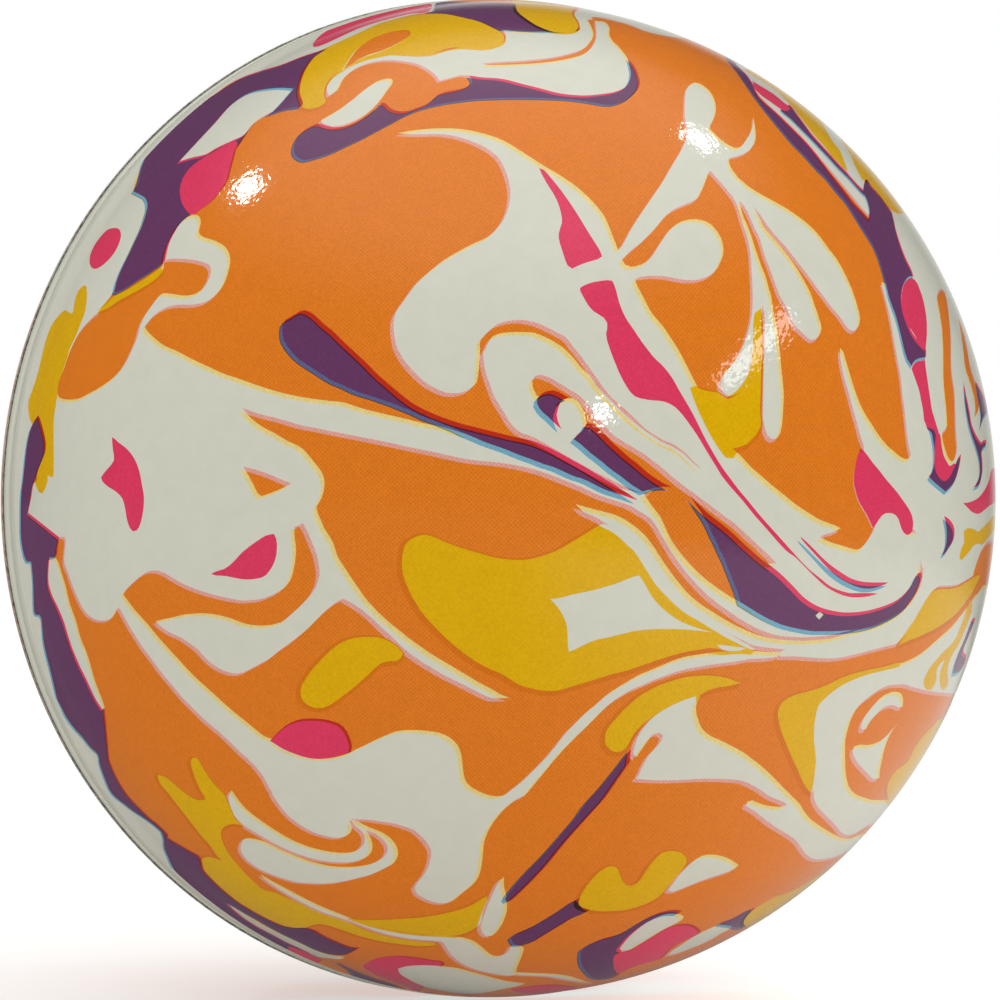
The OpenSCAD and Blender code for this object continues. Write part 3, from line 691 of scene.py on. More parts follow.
     "774,785 782,793 789,800 796,807 801,815 807,822 815,828 823,833 832,838 840,841 848,841 "
     "856,838 870,836 850,850 838,857 825,861 812,862 804,858 798,851 792,843 782,836 772,830 "
     "762,823 752,815 742,809! 746,803 760,808 775,810 784,808! 778,804.5 766,799.5 758,794 "
     "748,788 738,784 726,782.5 711,782 696,782 680,783 660,783.5 645,783 632,782! 636,774 "
     "640,766 634,762"),
    ("orange", "655,736 659,738 658,743 653,750 646,757 641,765 637,773 634,780! 628,768 632,761 "
     "636,755 641,748 646,741 650,737"),
    ("yellow", "900,662.5 885,666.5 870,669.5 858,672.5 848,675.5 838,679.5 828,684.5 818,688.5 "
     "808,691.5 798,694 788,698 781,704 778,712 779,722 782,733 786,743 790,753 794,762 798,770 "
     "801,778 806,787 811,793! 820,780 822,740 824,710 840,690 870,678 895,670"),
    ("white", "895,668 880,671.5 865,675.5 852,680.5 842,685.5 833,691.5 826,697.5 820,703.5 "
     "817,710 815,720 814,730 814,740 815,750 816,760 815,770 814,780 812,790! 810,798 "
     "812.5,806.5 817.5,813.5 824.5,820.5 832.5,828.5 838.5,835.5 845,838 853,835.5 862,830 "
     "872,825 885,825! 930,770 965,700 990,640 995,600 980,587 975,597 970,605 963,614 956,623 "
     "949,631 941,638 933,645 925,652 917,658 908,663"),
    ("orange", "872,696 878,692 886,689 894,688 902,688 912,691 925,694 940,696 965,697! 945,745 "
     "920,785 893,800! 882,803 870,803 862,801 852,797 846,790 843,780 842,768 842,745 844,735 "
     "847,725 851,716 857,708 864,702"),
    ("white", "858,732! 859,726 862,720 866,714.5 871,708.5 877,702 883,698 889,695.5 895,695.5 "
     "899,698 900.5,703 900,710! 896,711 891,708.5 886,709 880,711.5 874,717 869,722.5 865,728 "
     "862,734"),
    ("white", "851,750! 857,748 863,748.5 870,747.5 877,744.5 884,739 891,731 899,722! 893,729 "
     "888,736.5 884.5,744 881,754 879,764 877,773 876.5,781! 870,782 865,777 859,771 853,764 "
     "849.5,756"),
    ("yellow", "940,719 933,726 926,733 920,740 914,749 909,760 901,767 894,773 889,781 887,790 "
     "889,799 895,804! 925,775 950,720"),
    ("white", "861,448! 857,436 854,424 850,410 847,398 843,385 840,372 838,360 838,351! 840,350 "
     "842.5,360 845.5,370 848.5,380 851.5,390 855,400 859,410 864.5,420 871,430 877.5,440 "
     "885,449 892,455 898,460 904,462.5 909,460 907,450 905.5,440 904.5,430 903.5,420 "
     "902.5,410 901,400 899,380 895.5,360 892,340 888.5,320 884,300 880,285! 890,285 "
     "900,270 893,245 880,225 866,215 840,184 800,137 768,106 752,88 745,75 735,65 745,62! 800,92 "
     "850,130 905,190 950,260 990,360 1002,440 1002,560 990,575 975,575 925,570 921,575 913,535 "
     "905,534 898,518 889,513 880,518 873,529"),
    ("pink", "861,448 864,451 868,456 873,463 879,470 885,478 891,485 897,492 902,499 907,506 "
     "911,513 913,520 913,527 912,532 908,535 905,534 902,530 900,524 898,518 894,514 889,513 "
     "884,514 880,518 877,523 873,528! 868,517 864,510 861,505 858,499 856,492 854,484 854,476 "
     "855,468 857,458"),
    ("purple", "725,56! 728,62 737.5,74 750,92.5 759,105 770,119 781,132.5 792.5,146 802.5,156 "
     "815,170 825,180 835,192.5 845,204 852,215 860,228 867,239 873,249 878.5,263 883,278.5 "
     "888,300 895,320 900,340 905,360 910.7,369.3! 912,365 917,361.5 925,360! 925,351 921,348 "
     "915,341 910,333 906,323 903,314 901,304 901,294 903,286 908,279 913,279! 911,272 906,262 "
     "902,252 898,240 895.5,231 893.5,221 891.5,213! 885,204 879,196 871,187 866,180 863,192 "
     "867,203 869,213 868,221! 863,215 854,206 845.5,195 837,184 828.5,173 821,163 813.5,153 "
     "806,144 796,134 786,124 776,114 766,105.5 758.5,98 754.5,90 752,84 746,75 738,67! 730,59"),
    ("yellow", "745,70! 775,89 783,96 793,106 801,116 808,125 816,135 826,146 833,155 841,163 "
     "846,169! 843,161 840,153 837,147 831,140 825,130 820,121! 830,118 815,100 785,80"),
    ("yellow", "841,138! 847.5,149 852.5,156 856,165 860,172.5 864,180 867,179! 873,186 880,195 "
     "886,203 893,209 900,211! 910,200 880,165 855,135"),
    ("purple", "786,107! 790,106 796,114 804,125 812,136 820,145 829,155 838,165 844,171 850,178 "
     "858,187 866,194! 864,197 857,190 849,181 843,175 836,168 827,158 818.5,149 810,140 "
     "800,130 790,120 780,111"),
    ("pink", "752.5,81! 759,85 767.5,90 775,95 781,100 790,108 785,111 777.5,107 770,101.5 "
     "762.5,96.5 755,89"),
    ("pink", "910,278 904,284 902,292 902,300 903,310 905,318 909,326 914,334 918,341 922,347 "
     "925.5,350! 926.5,340 927,330 926.5,318 925,308 923,299 920,290 916,281"),
    ("pink", "911.5,369! 913,365 916,362 920,361 925,360! 926,370 927.5,380 929,390 930.5,400 "
     "932,410 935,420 938,430 940,436 934,436 931,432 928,430 926,425 924,420 923,410 921,400 "
     "919,390 915.5,380"),
    ("orange", "940,291! 937,297 937,303 938.5,310 940,320 941.5,330 942,340 942.5,350 942.5,370 "
     "942.5,380 943,390 944,400 945,410 945.5,420 946,428 944,433 941,435! 941,442 943,450 "
     "946,459 949,464 952,464 955,458! 956,448 955,436 954.5,420 954,400 953,388 951,375 "
     "950.5,360 950.5,340 949.5,325 948,310 946.5,300 944,292"),
    ("purple", "926,427! 929,432 931,440 932.5,450 933,460 932,470 930,476 927,480! 933,486 "
     "944,495! 950,489 954,483 957,474 959,465 960,457! 957,461 954,468 951,475 947,480 943,481 "
     "939,477 936,472 934.5,465 934.5,455 935,445 936,436 934,430"),
    ("pink", "937,431 936,436 935,445 934.5,455 934.5,465 936,472 939,477 943,481 947,480 "
     "951,475 954,468 957,461 950,466 947,462 944,456 942,448 941,440 940,434"),
    ("orange", "958,318! 961,335 963,350 965,370 970,385 974,400 975,412 974,420! 978,412 "
     "979,400 975,385 970,368 967,350 964,335"),
    ("purple", "963,383! 964,400 965.5,413 968,427 971,438 974.5,448 977.5,458 979,467 979,476 "
     "977.5,482 974.5,488 972,491! 978,488 980.5,481 982,471 981.5,460 981,453 985.5,447 "
     "986,443! 983,443 981,445.5 978,442 974.5,436 971,427 969.5,418 968,409 966,400"),
    ("purple", "975,383! 978,400 979.5,410 980.5,419 979,432! 983,420 987,413 985,400"),
    ("pink", "963,503! 970,502 978,498 984.5,490 989,480 992,469 1000,470 998,497 988,507 "
     "982,512 978,514 972,512 967,507"),
    ("purple", "942.5,519! 944.5,530 945,540 944,549 940,559! 943,557 947,551 952,543 953,535 "
     "952,529 948,523"),
    ("yellow", "965.5,531 972,530 976,532 979,533 983,529 989,523 993,517! 998,520 989,533 "
     "983,540 979,539 974,541 971,545.5 965.5,552 961.5,556! 963,548 966.5,541"),
    ("orange", "972,577! 975.5,566 980,554 986,545! 998,545 990,580 981,590 974,598"),
    ("yellow", "978,575 970,580 965,583 960,586 955,588 948,589 942,589 936,590 932,594 928,600 "
     "924,607 920,614 916,621 911,628 907,634 903,639 898,646! 903,643 910,640 918,637 927,633 "
     "935,629 943,624 950,619 957,613 962,607 967,600 972,593 976,585 980,577!"),
    ("yellow", "970,600 966,615 961,628 957,638 952,645 947,650 942,655 937,661 932,667 928,674 "
     "926,680 929,685 933,685 936,680 936,672 938,665 942,659 948,653! 946,660 943,668 942,676 "
     "943,683 946,686 948,682 947,674 948,665 951,656 955,648 960,640 964,630 968,620 972,608"),
    ("purple", "971,622 967,632 964,640 960,649 957,656 954,664 952,671 951,677! 957,675 961,670 "
     "965,660 962,655 963,649 967,640 971,630 974,622"),
    ("pinhole", "815.5,615.5! 819.5,612! 823.5,614.5! 821.5,617! 819,619.5!"),
    ("pinhole", "809,625 810.5,623.5 811.5,626 810,627"),
    ("pinhole", "614,828.5 615.5,828 616.5,829.5 615,830.5"),
    ("pinhole", "674,835.5 675.5,835 676.5,836.5 675,837.5"),
    ("pinhole", "886.5,392.5 888.5,391.5 889.5,393.5 887.5,394.5"),
    ("pinhole", "871,519.5 872.5,518.5 873.5,520.5 872,521.5"),
    ("speck", "875,303 876.5,302.5 877.5,304.5 876,305.5"),
    ("speck", "439.5,189.5 440.5,188.5 441.5,190.5 440.5,191.5"),
)
# The part of the film past the right rim isn't in the photograph: more of the same, in film mm.
UNSEEN_PRINT = (
    ("orange", "37,12! 38.5,14.2 40.5,16 42.5,19 44.3,21 45,18.5 43.6,15.8 42,13.4 40.4,11.7 38.6,11"),
    ("orange", "38.6,9.8! 41,10.6 44,10.9 47,11.8 47,9.8 44,9.2 41,9.2"),
    ("yellow", "37.5,19.5! 38.8,21.4 40.8,22.9 42.4,22.6 41.4,21 39.6,20"),
    ("pink", "39.5,6.6 41,7.9 43,8.1 44.2,6.9 43,5.5 41,5.3"),
    ("purple", "40.4,5.8 41.6,6.7 43,6.7 43.4,5.6 42,4.7"),
    ("orange", "39,-11 41,-9.9 43.6,-10.1 45.2,-11.6 43.8,-13 41,-12.9"),
    ("purple", "36.6,-13.4! 39.6,-14.4 42.6,-14.8 43.6,-15.6 41.6,-16 39,-15.2"),
)

# What each overprint looks like: yellow, magenta and cyan plate, then the colour.
OVERPRINTS = (
    (0, 0, 0, "#C9C9BB"),
    (1, 1, 0, "#D4731C"),
    (1, 0, 0, "#D9C47C"),
    (0, 1, 0, "#D3968A"),
    (2, 0, 0, "#D3A300"),
    (2, 1, 0, "#CA6B10"),
    (0, 2, 0, "#D2375A"),
    (1, 2, 0, "#B22A14"),
    (2, 2, 0, "#A82808"),
    (0, 0, 1, "#6C9FB4"),
    (1, 0, 1, "#7C8558"),
    (2, 0, 1, "#6E7A28"),
    (0, 1, 1, "#565C84"),
    (1, 1, 1, "#5A4438"),
    (2, 1, 1, "#5A4424"),
    (0, 2, 1, "#60345B"),
    (1, 2, 1, "#371628"),
    (2, 2, 1, "#341418"),
)


def view_axes():
    """The photograph's camera place in mm and its right, up and forward directions."""
    a = math.radians(VIEW_AZIMUTH)
    e = math.radians(VIEW_ELEVATION)
    back = np.array((math.sin(a) * math.cos(e), -math.cos(a) * math.cos(e), math.sin(e)))
    right = np.array((math.cos(a), math.sin(a), 0.0))
    return back * VIEW_DISTANCE, right, np.cross(back, right), -back


def on_film(x, y):
    """The place on the flat front film, in mm from its middle, that a photo pixel shows."""
    eye, right, up, ahead = view_axes()
    dx = x - DISC_X
    dy = DISC_Y - y
    reach = math.hypot(dx, dy)
    if reach < 1e-6:
        dx, reach = 1e-6, 1e-6
    held = min(reach, RIM_R)
    u = dx / reach
    v = dy / reach
    ray = ahead + (right * u + up * v) * held / VIEW_SCALE
    ray /= np.linalg.norm(ray)
    b = -eye @ ray
    radius = BALL_R
    for _ in range(3):
        depth = max(0.0, b * b - eye @ eye + radius ** 2)
        hit = eye + ray * (b - math.sqrt(depth))
        radius = skin(math.acos(max(-1, min(1, -hit[1] / radius))), 0)
    unit = hit / np.linalg.norm(hit)
    if reach > RIM_R:
        turn = math.radians((reach - RIM_R) * PAST_RIM)
        outward = right * u + up * v
        angle = math.atan2(unit @ outward, -unit @ ahead) + turn
        unit = outward * math.sin(angle) - ahead * math.cos(angle)
    hit = unit
    theta = math.acos(max(-1, min(1, -hit[1])))
    phi = math.atan2(hit[2], hit[0])
    return BALL_R * theta * math.cos(phi), BALL_R * theta * math.sin(phi)


def traced(text, place=on_film):
    """The closed outline through listed points, smooth except at corners marked "!"."""
    dots = []
    sharp = []
    for word in text.split():
        sharp.append(word.endswith("!"))
        x, y = word.rstrip("!").split(",")
        dots.append(np.array((float(x), float(y))))
    n = len(dots)
    out = []
    last = None
    for i in range(n):
        a, b = dots[i], dots[(i + 1) % n]
        before = a if sharp[i] else dots[i - 1]
        after = b if sharp[(i + 1) % n] else dots[(i + 2) % n]
        for k in range(CURVE_STEPS):
            s = k / CURVE_STEPS
            c1 = a + (b - before) / 6
            c2 = b - (after - a) / 6
            p = (a * (1 - s) ** 3 + c1 * 3 * s * (1 - s) ** 2
                 + c2 * 3 * s * s * (1 - s) + b * s ** 3)
            q = np.array(place(*p))
            must = k == 0 and sharp[i]
            if last is None or must or np.linalg.norm(q - last) > STEP:
                out.append(q)
                last = q
    if len(out) > 3 and np.linalg.norm(out[0] - out[-1]) < STEP * 0.5:
        out.pop()
    return np.array(out)


def offset(loop, by):
    """The outline moved outwards by so many mm, or inwards where by is negative."""
    ahead = np.roll(loop, -1, axis=0) - np.roll(loop, 1, axis=0)
    ahead /= np.maximum(np.linalg.norm(ahead, axis=1, keepdims=True), 1e-9)
    x, y = loop[:, 0], loop[:, 1]
    area = np.sum(x * np.roll(y, -1) - y * np.roll(x, -1))
    normal = np.column_stack((ahead[:, 1], -ahead[:, 0]))
    if area < 0:
        normal = -normal
    moved = loop + normal * by
    gaps = np.linalg.norm(moved[:, None, :] - loop[None, :, :], axis=2).min(axis=1)
    return moved[gaps > abs(by) * OFFSET_KEPT]


def inside(points, loop):
    """Which of the points lie inside the closed loop, by winding number."""
    lo = loop.min(axis=0)
    hi = loop.max(axis=0)
    near = np.nonzero(np.all((points >= lo) & (points <= hi), axis=1))[0]
    out = np.zeros(len(points), bool)
    if not len(near):
        return out
    px, py = points[near, 0], points[near, 1]
    wind = np.zeros(len(near), int)
    ends = np.roll(loop, -1, axis=0)
    for (x0, y0), (x1, y1) in zip(loop, ends):
        if y0 == y1:
            continue
        crosses = (py >= min(y0, y1)) & (py < max(y0, y1))
        at = x0 + (py - y0) * (x1 - x0) / (y1 - y0)
        wind += np.where(crosses & (px < at), 1 if y1 > y0 else -1, 0)
    out[near] = wind != 0
    return out


def plates(kind, loop):
    """The cuts that one outline makes: (plate number, value, loop)."""
    shift = np.array(OFF_REGISTER)
    moved = loop + shift
    if kind == "white":
        return [(0, 0, loop), (1, 0, moved), (2, 0, loop)]
    if kind == "orange":
        return [(0, 1, loop), (1, 1, moved), (2, 0, loop)]
    if kind == "yellow":
        return [(0, 2, offset(loop - shift * REGISTER_SHARE, TRAP)), (1, 0, loop), (2, 0, loop)]
    if kind == "pink":
        return [(0, 0, offset(loop - shift * REGISTER_SHARE, -KNOCKED_IN)), (1, 2, loop), (2, 0, loop)]
    if kind == "pinhole":
        return [(plate, 0, loop) for plate in range(3)]
    if kind == "speck":
        return [(0, 2, loop), (1, 2, loop), (2, 1, loop)]
    return [(0, 0, offset(loop, -KNOCKED_IN)), (1, 2, moved), (2, 1, loop)]


def print_film(cuts, limit):
    """Cuts the flat film along every loop and says what each plate prints on each piece."""
    points = []
    edges = []

    def add(loop):
        start = len(points)
        points.extend(loop)
        n = len(loop)
        edges.extend((start + k, start + (k + 1) % n) for k in range(n))

    rim = np.array([(limit * math.cos(a), limit * math.sin(a))
                    for a in np.linspace(0, 2 * math.pi, RIM_POINTS, endpoint=False)])
    add(rim)
    for plate, value, loop in cuts:
        if len(loop) > 2:
            far = np.linalg.norm(loop, axis=1, keepdims=True)
            add(loop * np.minimum(1, (limit + PAST_EDGE) / np.maximum(far, 1e-9)))
    for ring in range(RIM_RINGS):
        rho = limit - (ring + 1) * RIM_STEP
        spots = int(2 * math.pi * rho / (RIM_STEP * RIM_SPREAD))
        for k in range(spots):
            a = 2 * math.pi * (k + 0.5 * (ring % 2)) / spots
            points.append(np.array((rho * math.cos(a), rho * math.sin(a))))
    inner = limit - (RIM_RINGS + 1) * RIM_STEP
    reach = int(limit / GRID)
    for i in range(-reach, reach + 1):
        for j in range(-reach, reach + 1):
            p = np.array(((i + 0.5 * (j % 2)) * GRID, j * GRID * GRID_ROW))
            if np.linalg.norm(p) < inner:
                points.append(p)
    verts, _, faces, _, _, _ = delaunay_2d_cdt([Vector(p) for p in points], edges, [], 0, MERGED)
    flat = np.array([(v[0], v[1]) for v in verts])
    tris = np.array([f for f in faces if len(f) == 3])
    middle = flat[tris].mean(axis=1)
    keep = inside(middle, rim)
    tris = tris[keep]
    middle = middle[keep]
    ink = np.zeros((len(tris), 3), int)
    ink[:, :2] = 1
    for plate, value, loop in cuts:
        if len(loop) > 2:
            ink[inside(middle, loop), plate] = value
    return flat, tris, ink


def front_cuts():
    """Every cut of the front film's three plates, in printing order."""
    cuts = []
    for kind, text in FRONT_PRINT:
        cuts += plates(kind, traced(text))
    for kind, text in UNSEEN_PRINT:
        cuts += plates(kind, traced(text, lambda x, y: (x, y)))
    return cuts


def film_object(name, cuts, side, margin, mat):
    """The film drawn over its half of the ball, with its plates as face attributes."""
    limit = BALL_R * math.acos(margin / BALL_R)
    flat, tris, ink = print_film(cuts, limit)
    used, tris = np.unique(tris, return_inverse=True)
    flat = flat[used]
    tris = tris.reshape(-1, 3)
    a, b, c = (flat[tris[:, k]] for k in range(3))
    turn = (b[:, 0] - a[:, 0]) * (c[:, 1] - a[:, 1]) - (b[:, 1] - a[:, 1]) * (c[:, 0] - a[:, 0])
    wrong = turn * side < 0
    tris[wrong] = tris[wrong][:, ::-1]
    verts = []
    normals = []
    for depth, facing in ((0.0, 1), (FILM_T, -1)):
        for x, z in flat:
            theta = math.hypot(x, z) / BALL_R
            phi = math.atan2(z, x)
            r, before, after = (skin(at if side > 0 else math.pi - at, depth)
                                for at in (theta, theta - SLOPE_STEP, theta + SLOPE_STEP))
            slope = (after - before) / (2 * SLOPE_STEP * r)
            outward = Vector((math.sin(theta) * math.cos(phi), -side * math.cos(theta),
                              math.sin(theta) * math.sin(phi)))
            along = Vector((math.cos(theta) * math.cos(phi), side * math.sin(theta),
                            math.cos(theta) * math.sin(phi)))
            verts.append(tuple(outward * r))
            normals.append((outward - along * slope).normalized() * facing)
    count = len(flat)
    outer = tris.tolist()
    ways = {(f[k], f[(k + 1) % 3]) for f in outer for k in range(3)}
    walls = [(q, p, p + count, q + count) for p, q in sorted(ways) if (q, p) not in ways]
    under = (tris[:, ::-1] + count).tolist()
    obj = put(name, verts, outer + walls + under, mat)
    mesh = obj.data
    mesh.normals_split_custom_set_from_vertices(normals)
    table = {(y, m, c): srgb(hexa) for y, m, c, hexa in OVERPRINTS}
    bare = len(walls) + len(under)
    colour = [table[tuple(row)] for row in ink.tolist()] + [table[(0, 0, 0)]] * bare
    screen = [SCREENED[row[1]] if row[1] else SCREENED[-1] * (max(row) > 0) for row in ink.tolist()]
    screen += [0.0] * bare
    attr = mesh.attributes.new("overprint", "FLOAT_COLOR", "FACE")
    attr.data.foreach_set("color", np.array(colour, np.float32).ravel())
    attr = mesh.attributes.new("screened", "FLOAT", "FACE")
    attr.data.foreach_set("value", np.array(screen, np.float32))
    layer = mesh.uv_layers.new(name="FilmMM")
    loops = np.empty(len(mesh.loops), np.int32)
    mesh.loops.foreach_get("vertex_index", loops)
    place = np.vstack((flat, flat)) * UV_PER_MM
    layer.data.foreach_set("uv", place[loops].astype(np.float32).ravel())
    return obj


# Printed film with a hard gloss: the inks as fine soft dots, the clear face with orange peel.
film = blank_material("printed_gloss_film")
tree = film.node_tree
ink = node(tree, "ShaderNodeAttribute", attribute_name="overprint")
screen = node(tree, "ShaderNodeAttribute", attribute_name="screened")
place = node(tree, "ShaderNodeUVMap", uv_map="FilmMM")
turned_place = node(tree, "ShaderNodeMapping", [("Vector", place.outputs["UV"])],
                    Rotation=(0, 0, math.radians(DOT_ANGLE)))
# A wave texture's bands lie pi / 10 apart at scale 1.
bands = []
for way in ("X", "Y"):
    wave = node(tree, "ShaderNodeTexWave", [("Vector", turned_place.outputs["Vector"])],
                bands_direction=way, Scale=math.pi / 10 / (DOT_PITCH * UV_PER_MM))
    bands.append(wave.outputs["Fac"])
dots = node(tree, "ShaderNodeMath", [(0, bands[0]), (1, bands[1])], operation="MULTIPLY")
tone = node(tree, "ShaderNodeMix", [("Factor", dots.outputs[0]), (6, BETWEEN_DOTS), (7, ON_DOTS)],
            data_type="RGBA")
dotted = node(tree, "ShaderNodeMix", [("Factor", screen.outputs["Fac"]), (6, ink.outputs["Color"]),
                                      (7, tone.outputs[2])], data_type="RGBA", blend_type="MULTIPLY")
coords = node(tree, "ShaderNodeTexCoord")
mottle = node(tree, "ShaderNodeTexNoise", [("Vector", coords.outputs["Object"])],
              Scale=1 / (MOTTLE * MM), Detail=6.0)
shade = node(tree, "ShaderNodeMapRange", [("Value", mottle.outputs["Fac"])], From_Min=NOISE_LOW,
             From_Max=NOISE_HIGH, To_Min=1 - MOTTLE_DEPTH, To_Max=1 + MOTTLE_DEPTH)
speck = node(tree, "ShaderNodeTexNoise", [("Vector", coords.outputs["Object"])],
             Scale=1 / (SPECK * MM), Detail=1.0)
lift = node(tree, "ShaderNodeMapRange", [("Value", speck.outputs["Fac"])], From_Min=NOISE_LOW,
            From_Max=NOISE_HIGH, To_Min=-SPECK_DEPTH, To_Max=SPECK_DEPTH)
# Specks lie in the ink alone: wherever there is ink, the screen's strength times 3 is 1 or more.
printed = node(tree, "ShaderNodeMath", [(0, screen.outputs["Fac"]), (1, INK_FULL)], operation="MULTIPLY",
               use_clamp=True)
level = node(tree, "ShaderNodeMath", [(0, lift.outputs["Result"]), (1, printed.outputs[0]),
                                      (2, shade.outputs["Result"])], operation="MULTIPLY_ADD")
final = node(tree, "ShaderNodeVectorMath", [(0, dotted.outputs[2]), (3, level.outputs[0])],
             operation="SCALE")
peel = node(tree, "ShaderNodeTexNoise", [("Vector", coords.outputs["Object"])],
            Scale=1 / (PEEL_WAVE * MM), Detail=1.0)
bump = node(tree, "ShaderNodeBump", [("Height", peel.outputs["Fac"])], Strength=1.0,
            Distance=PEEL_HEIGHT * MM)
gloss = node(tree, "ShaderNodeMapRange", [("Value", mottle.outputs["Fac"])], To_Min=GLOSS[0],
             To_Max=GLOSS[1])
surface = node(tree, "ShaderNodeBsdfPrincipled",
               [("Base Color", final.outputs["Vector"]), ("Roughness", gloss.outputs["Result"]),
                ("Normal", bump.outputs["Normal"])])
node(tree, "ShaderNodeOutputMaterial", [("Surface", surface.outputs["BSDF"])])

front = film_object("printed_film_front_body", front_cuts(), 1, FRONT_MARGIN, film)
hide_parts("printed_film_front")

# Back film: the printed film on the far half, marbled in the same inks.
# Made and fixed like the front one; its edge stops 1.6 mm short of the parting line.
# The photograph doesn't show its print, so it is a plain marbling of the same scale.
BACK_MARGIN = 1.6
BACK_INKS = ("white", "orange", "white", "yellow", "white", "purple", "orange", "white", "pink",
             "yellow", "orange", "white")
BACK_SEED = 6
# How far out the marbling reaches in mm, the turn from one drop or swirl to the next in radians, and the
# longest step of an outline in mm.
BACK_REACH = 52.0
SPREAD_TURN = 2.4
STRETCHED = 0.7
# Drops: how many, the stride that scatters them, their drift in radians, their radius in mm, the points
# of their outline, and the share of the radius that pink and purple have.
DROPS = 60
DROP_STRIDE = 17
DROP_DRIFT = 0.5
DROP_SIZES = (3.0, 7.5)
DROP_POINTS = 60
SMALL_DROP = 0.6
# Strokes: how many, and in mm how far out they lie, how far they pull and how wide they are.
STROKES = 6
STROKE_REACH = 35
STROKE_PULL = (8, 16)
STROKE_WIDTH = (3, 6)
# Swirls: how many, the first one's place in radians, the share of the reach that they take, how far
# they turn in radians, how wide they are in mm, and the steps that a turn is made in.
SWIRLS = 7
SWIRL_START = 0.7
SWIRL_REACH = 0.8
SWIRL_TURN = (1.6, 2.8)
SWIRL_WIDTH = (8, 13)
SWIRL_STEPS = 6


def stirred(blobs, shift):
    """Moves every outline of a marbling, with more points first wherever it is stretched."""
    for blob in blobs:
        loop = blob[1]
        ends = np.roll(loop, -1, axis=0)
        wide = np.linalg.norm(ends - loop, axis=1) > STRETCHED
        loop = np.insert(loop, np.nonzero(wide)[0] + 1, ((loop + ends) / 2)[wide], axis=0)
        blob[1] = shift(loop)


def dropped(loop, at, r):
    """Points pushed outwards by a drop of ink let fall at a place."""
    off = loop - at
    return at + off * np.sqrt(1 + r * r / np.maximum(np.sum(off ** 2, axis=1, keepdims=True), 1e-6))


def combed(loop, at, way, pull, width):
    """Points drawn along by a stylus pulled through a place."""
    across = (loop - at) @ np.array((-way[1], way[0])) / width
    return loop + way * (pull / (1 + across ** 2))[:, None]


def twisted(loop, at, turn, width):
    """Points turned round a place, less so farther out."""
    off = loop - at
    b = turn * np.exp(-np.sum(off ** 2, axis=1) / width ** 2)
    c, s = np.cos(b), np.sin(b)
    return at + np.column_stack((off[:, 0] * c - off[:, 1] * s, off[:, 0] * s + off[:, 1] * c))


def marbling(draw):
    """Marbling made as on water: drops of ink, then strokes and swirls; (ink, outline) pairs."""
    blobs = []
    for k in range(DROPS):
        a = k * SPREAD_TURN + draw.uniform(-DROP_DRIFT, DROP_DRIFT)
        far = BACK_REACH * math.sqrt(((k * DROP_STRIDE) % DROPS + 0.5) / DROPS)
        at = np.array((far * math.cos(a), far * math.sin(a)))
        ink = BACK_INKS[k % len(BACK_INKS)]
        r = draw.uniform(*DROP_SIZES) * (SMALL_DROP if ink in ("pink", "purple") else 1)
        stirred(blobs, lambda loop: dropped(loop, at, r))
        turns = np.linspace(0, 2 * math.pi, DROP_POINTS, endpoint=False)
        blobs.append([ink, at + r * np.column_stack((np.cos(turns), np.sin(turns)))])
    for _ in range(STROKES):
        at = np.array([draw.uniform(-STROKE_REACH, STROKE_REACH) for _ in range(2)])
        a = draw.uniform(0, 2 * math.pi)
        way = np.array((math.cos(a), math.sin(a)))
        pull = draw.uniform(*STROKE_PULL)
        width = draw.uniform(*STROKE_WIDTH)
        stirred(blobs, lambda loop: combed(loop, at, way, pull, width))
    for k in range(SWIRLS):
        a = k * SPREAD_TURN + SWIRL_START
        far = SWIRL_REACH * BACK_REACH * math.sqrt((k + 0.5) / SWIRLS)
        at = np.array((far * math.cos(a), far * math.sin(a)))
        turn = draw.uniform(*SWIRL_TURN) * (1 if k % 2 else -1) / SWIRL_STEPS
        width = draw.uniform(*SWIRL_WIDTH)
        for _ in range(SWIRL_STEPS):
            stirred(blobs, lambda loop: twisted(loop, at, turn, width))
    return blobs


def thinned(loop):
    """The outline with only so many points as the print needs."""
    out = [loop[0]]
    for p in loop[1:]:
        if np.linalg.norm(p - out[-1]) > STEP:
            out.append(p)
    return np.array(out)


back_cuts = []
for ink_name, loop in marbling(random.Random(BACK_SEED)):
    back_cuts += plates(ink_name, thinned(loop))
back = film_object("printed_film_back_body", back_cuts, -1, BACK_MARGIN, film)
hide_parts("printed_film_back")

# Table, light and camera: a white paper sweep in a plain studio, seen as in the photograph.
# The room and the sweep give a soft light by their glow, and four small lamps give the glints.
FLOOR_HALF = 2.0
FLOOR_GREY = "#BCBCBA"
FLOOR_GLOW = 0.46
# The sweep throws more light up on the camera's right: a patch there, by distance in metres.
PATCH_OUT = 0.045
PATCH_FULL = 0.01
PATCH_END = 0.06
PATCH_GLOW = 0.35
# The gloss mirrors the sweep dimly, and more of it on the camera's right, by distance in metres.
FLOOR_MIRRORED = 0.12
FLOOR_MIRRORED_RIGHT = 0.55
RIGHT_FROM = 0.0
RIGHT_FULL = 0.05
MIRRORED_FULL = 0.1
MIRRORED_END = 0.25
# The room's light, by direction: a base, more from the camera's side, more from above.
ROOM_BASE = 0.33
ROOM_AHEAD = 0.05
ROOM_ABOVE = 1.3
# What the gloss mirrors: a dim room with a pale ceiling, and a pale wall straight behind the ball.
ROOM_DIM = 0.06
CEILING_LOW = 0.62
CEILING_HIGH = 0.92
CEILING_LIGHT = 0.75
BEHIND_LOW = 0.9
BEHIND_HIGH = 1.0
BEHIND_LIGHT = 0.6
WARM_WHITE = (1, 0.98, 0.94, 1)
WHITE = (1, 1, 1, 1)
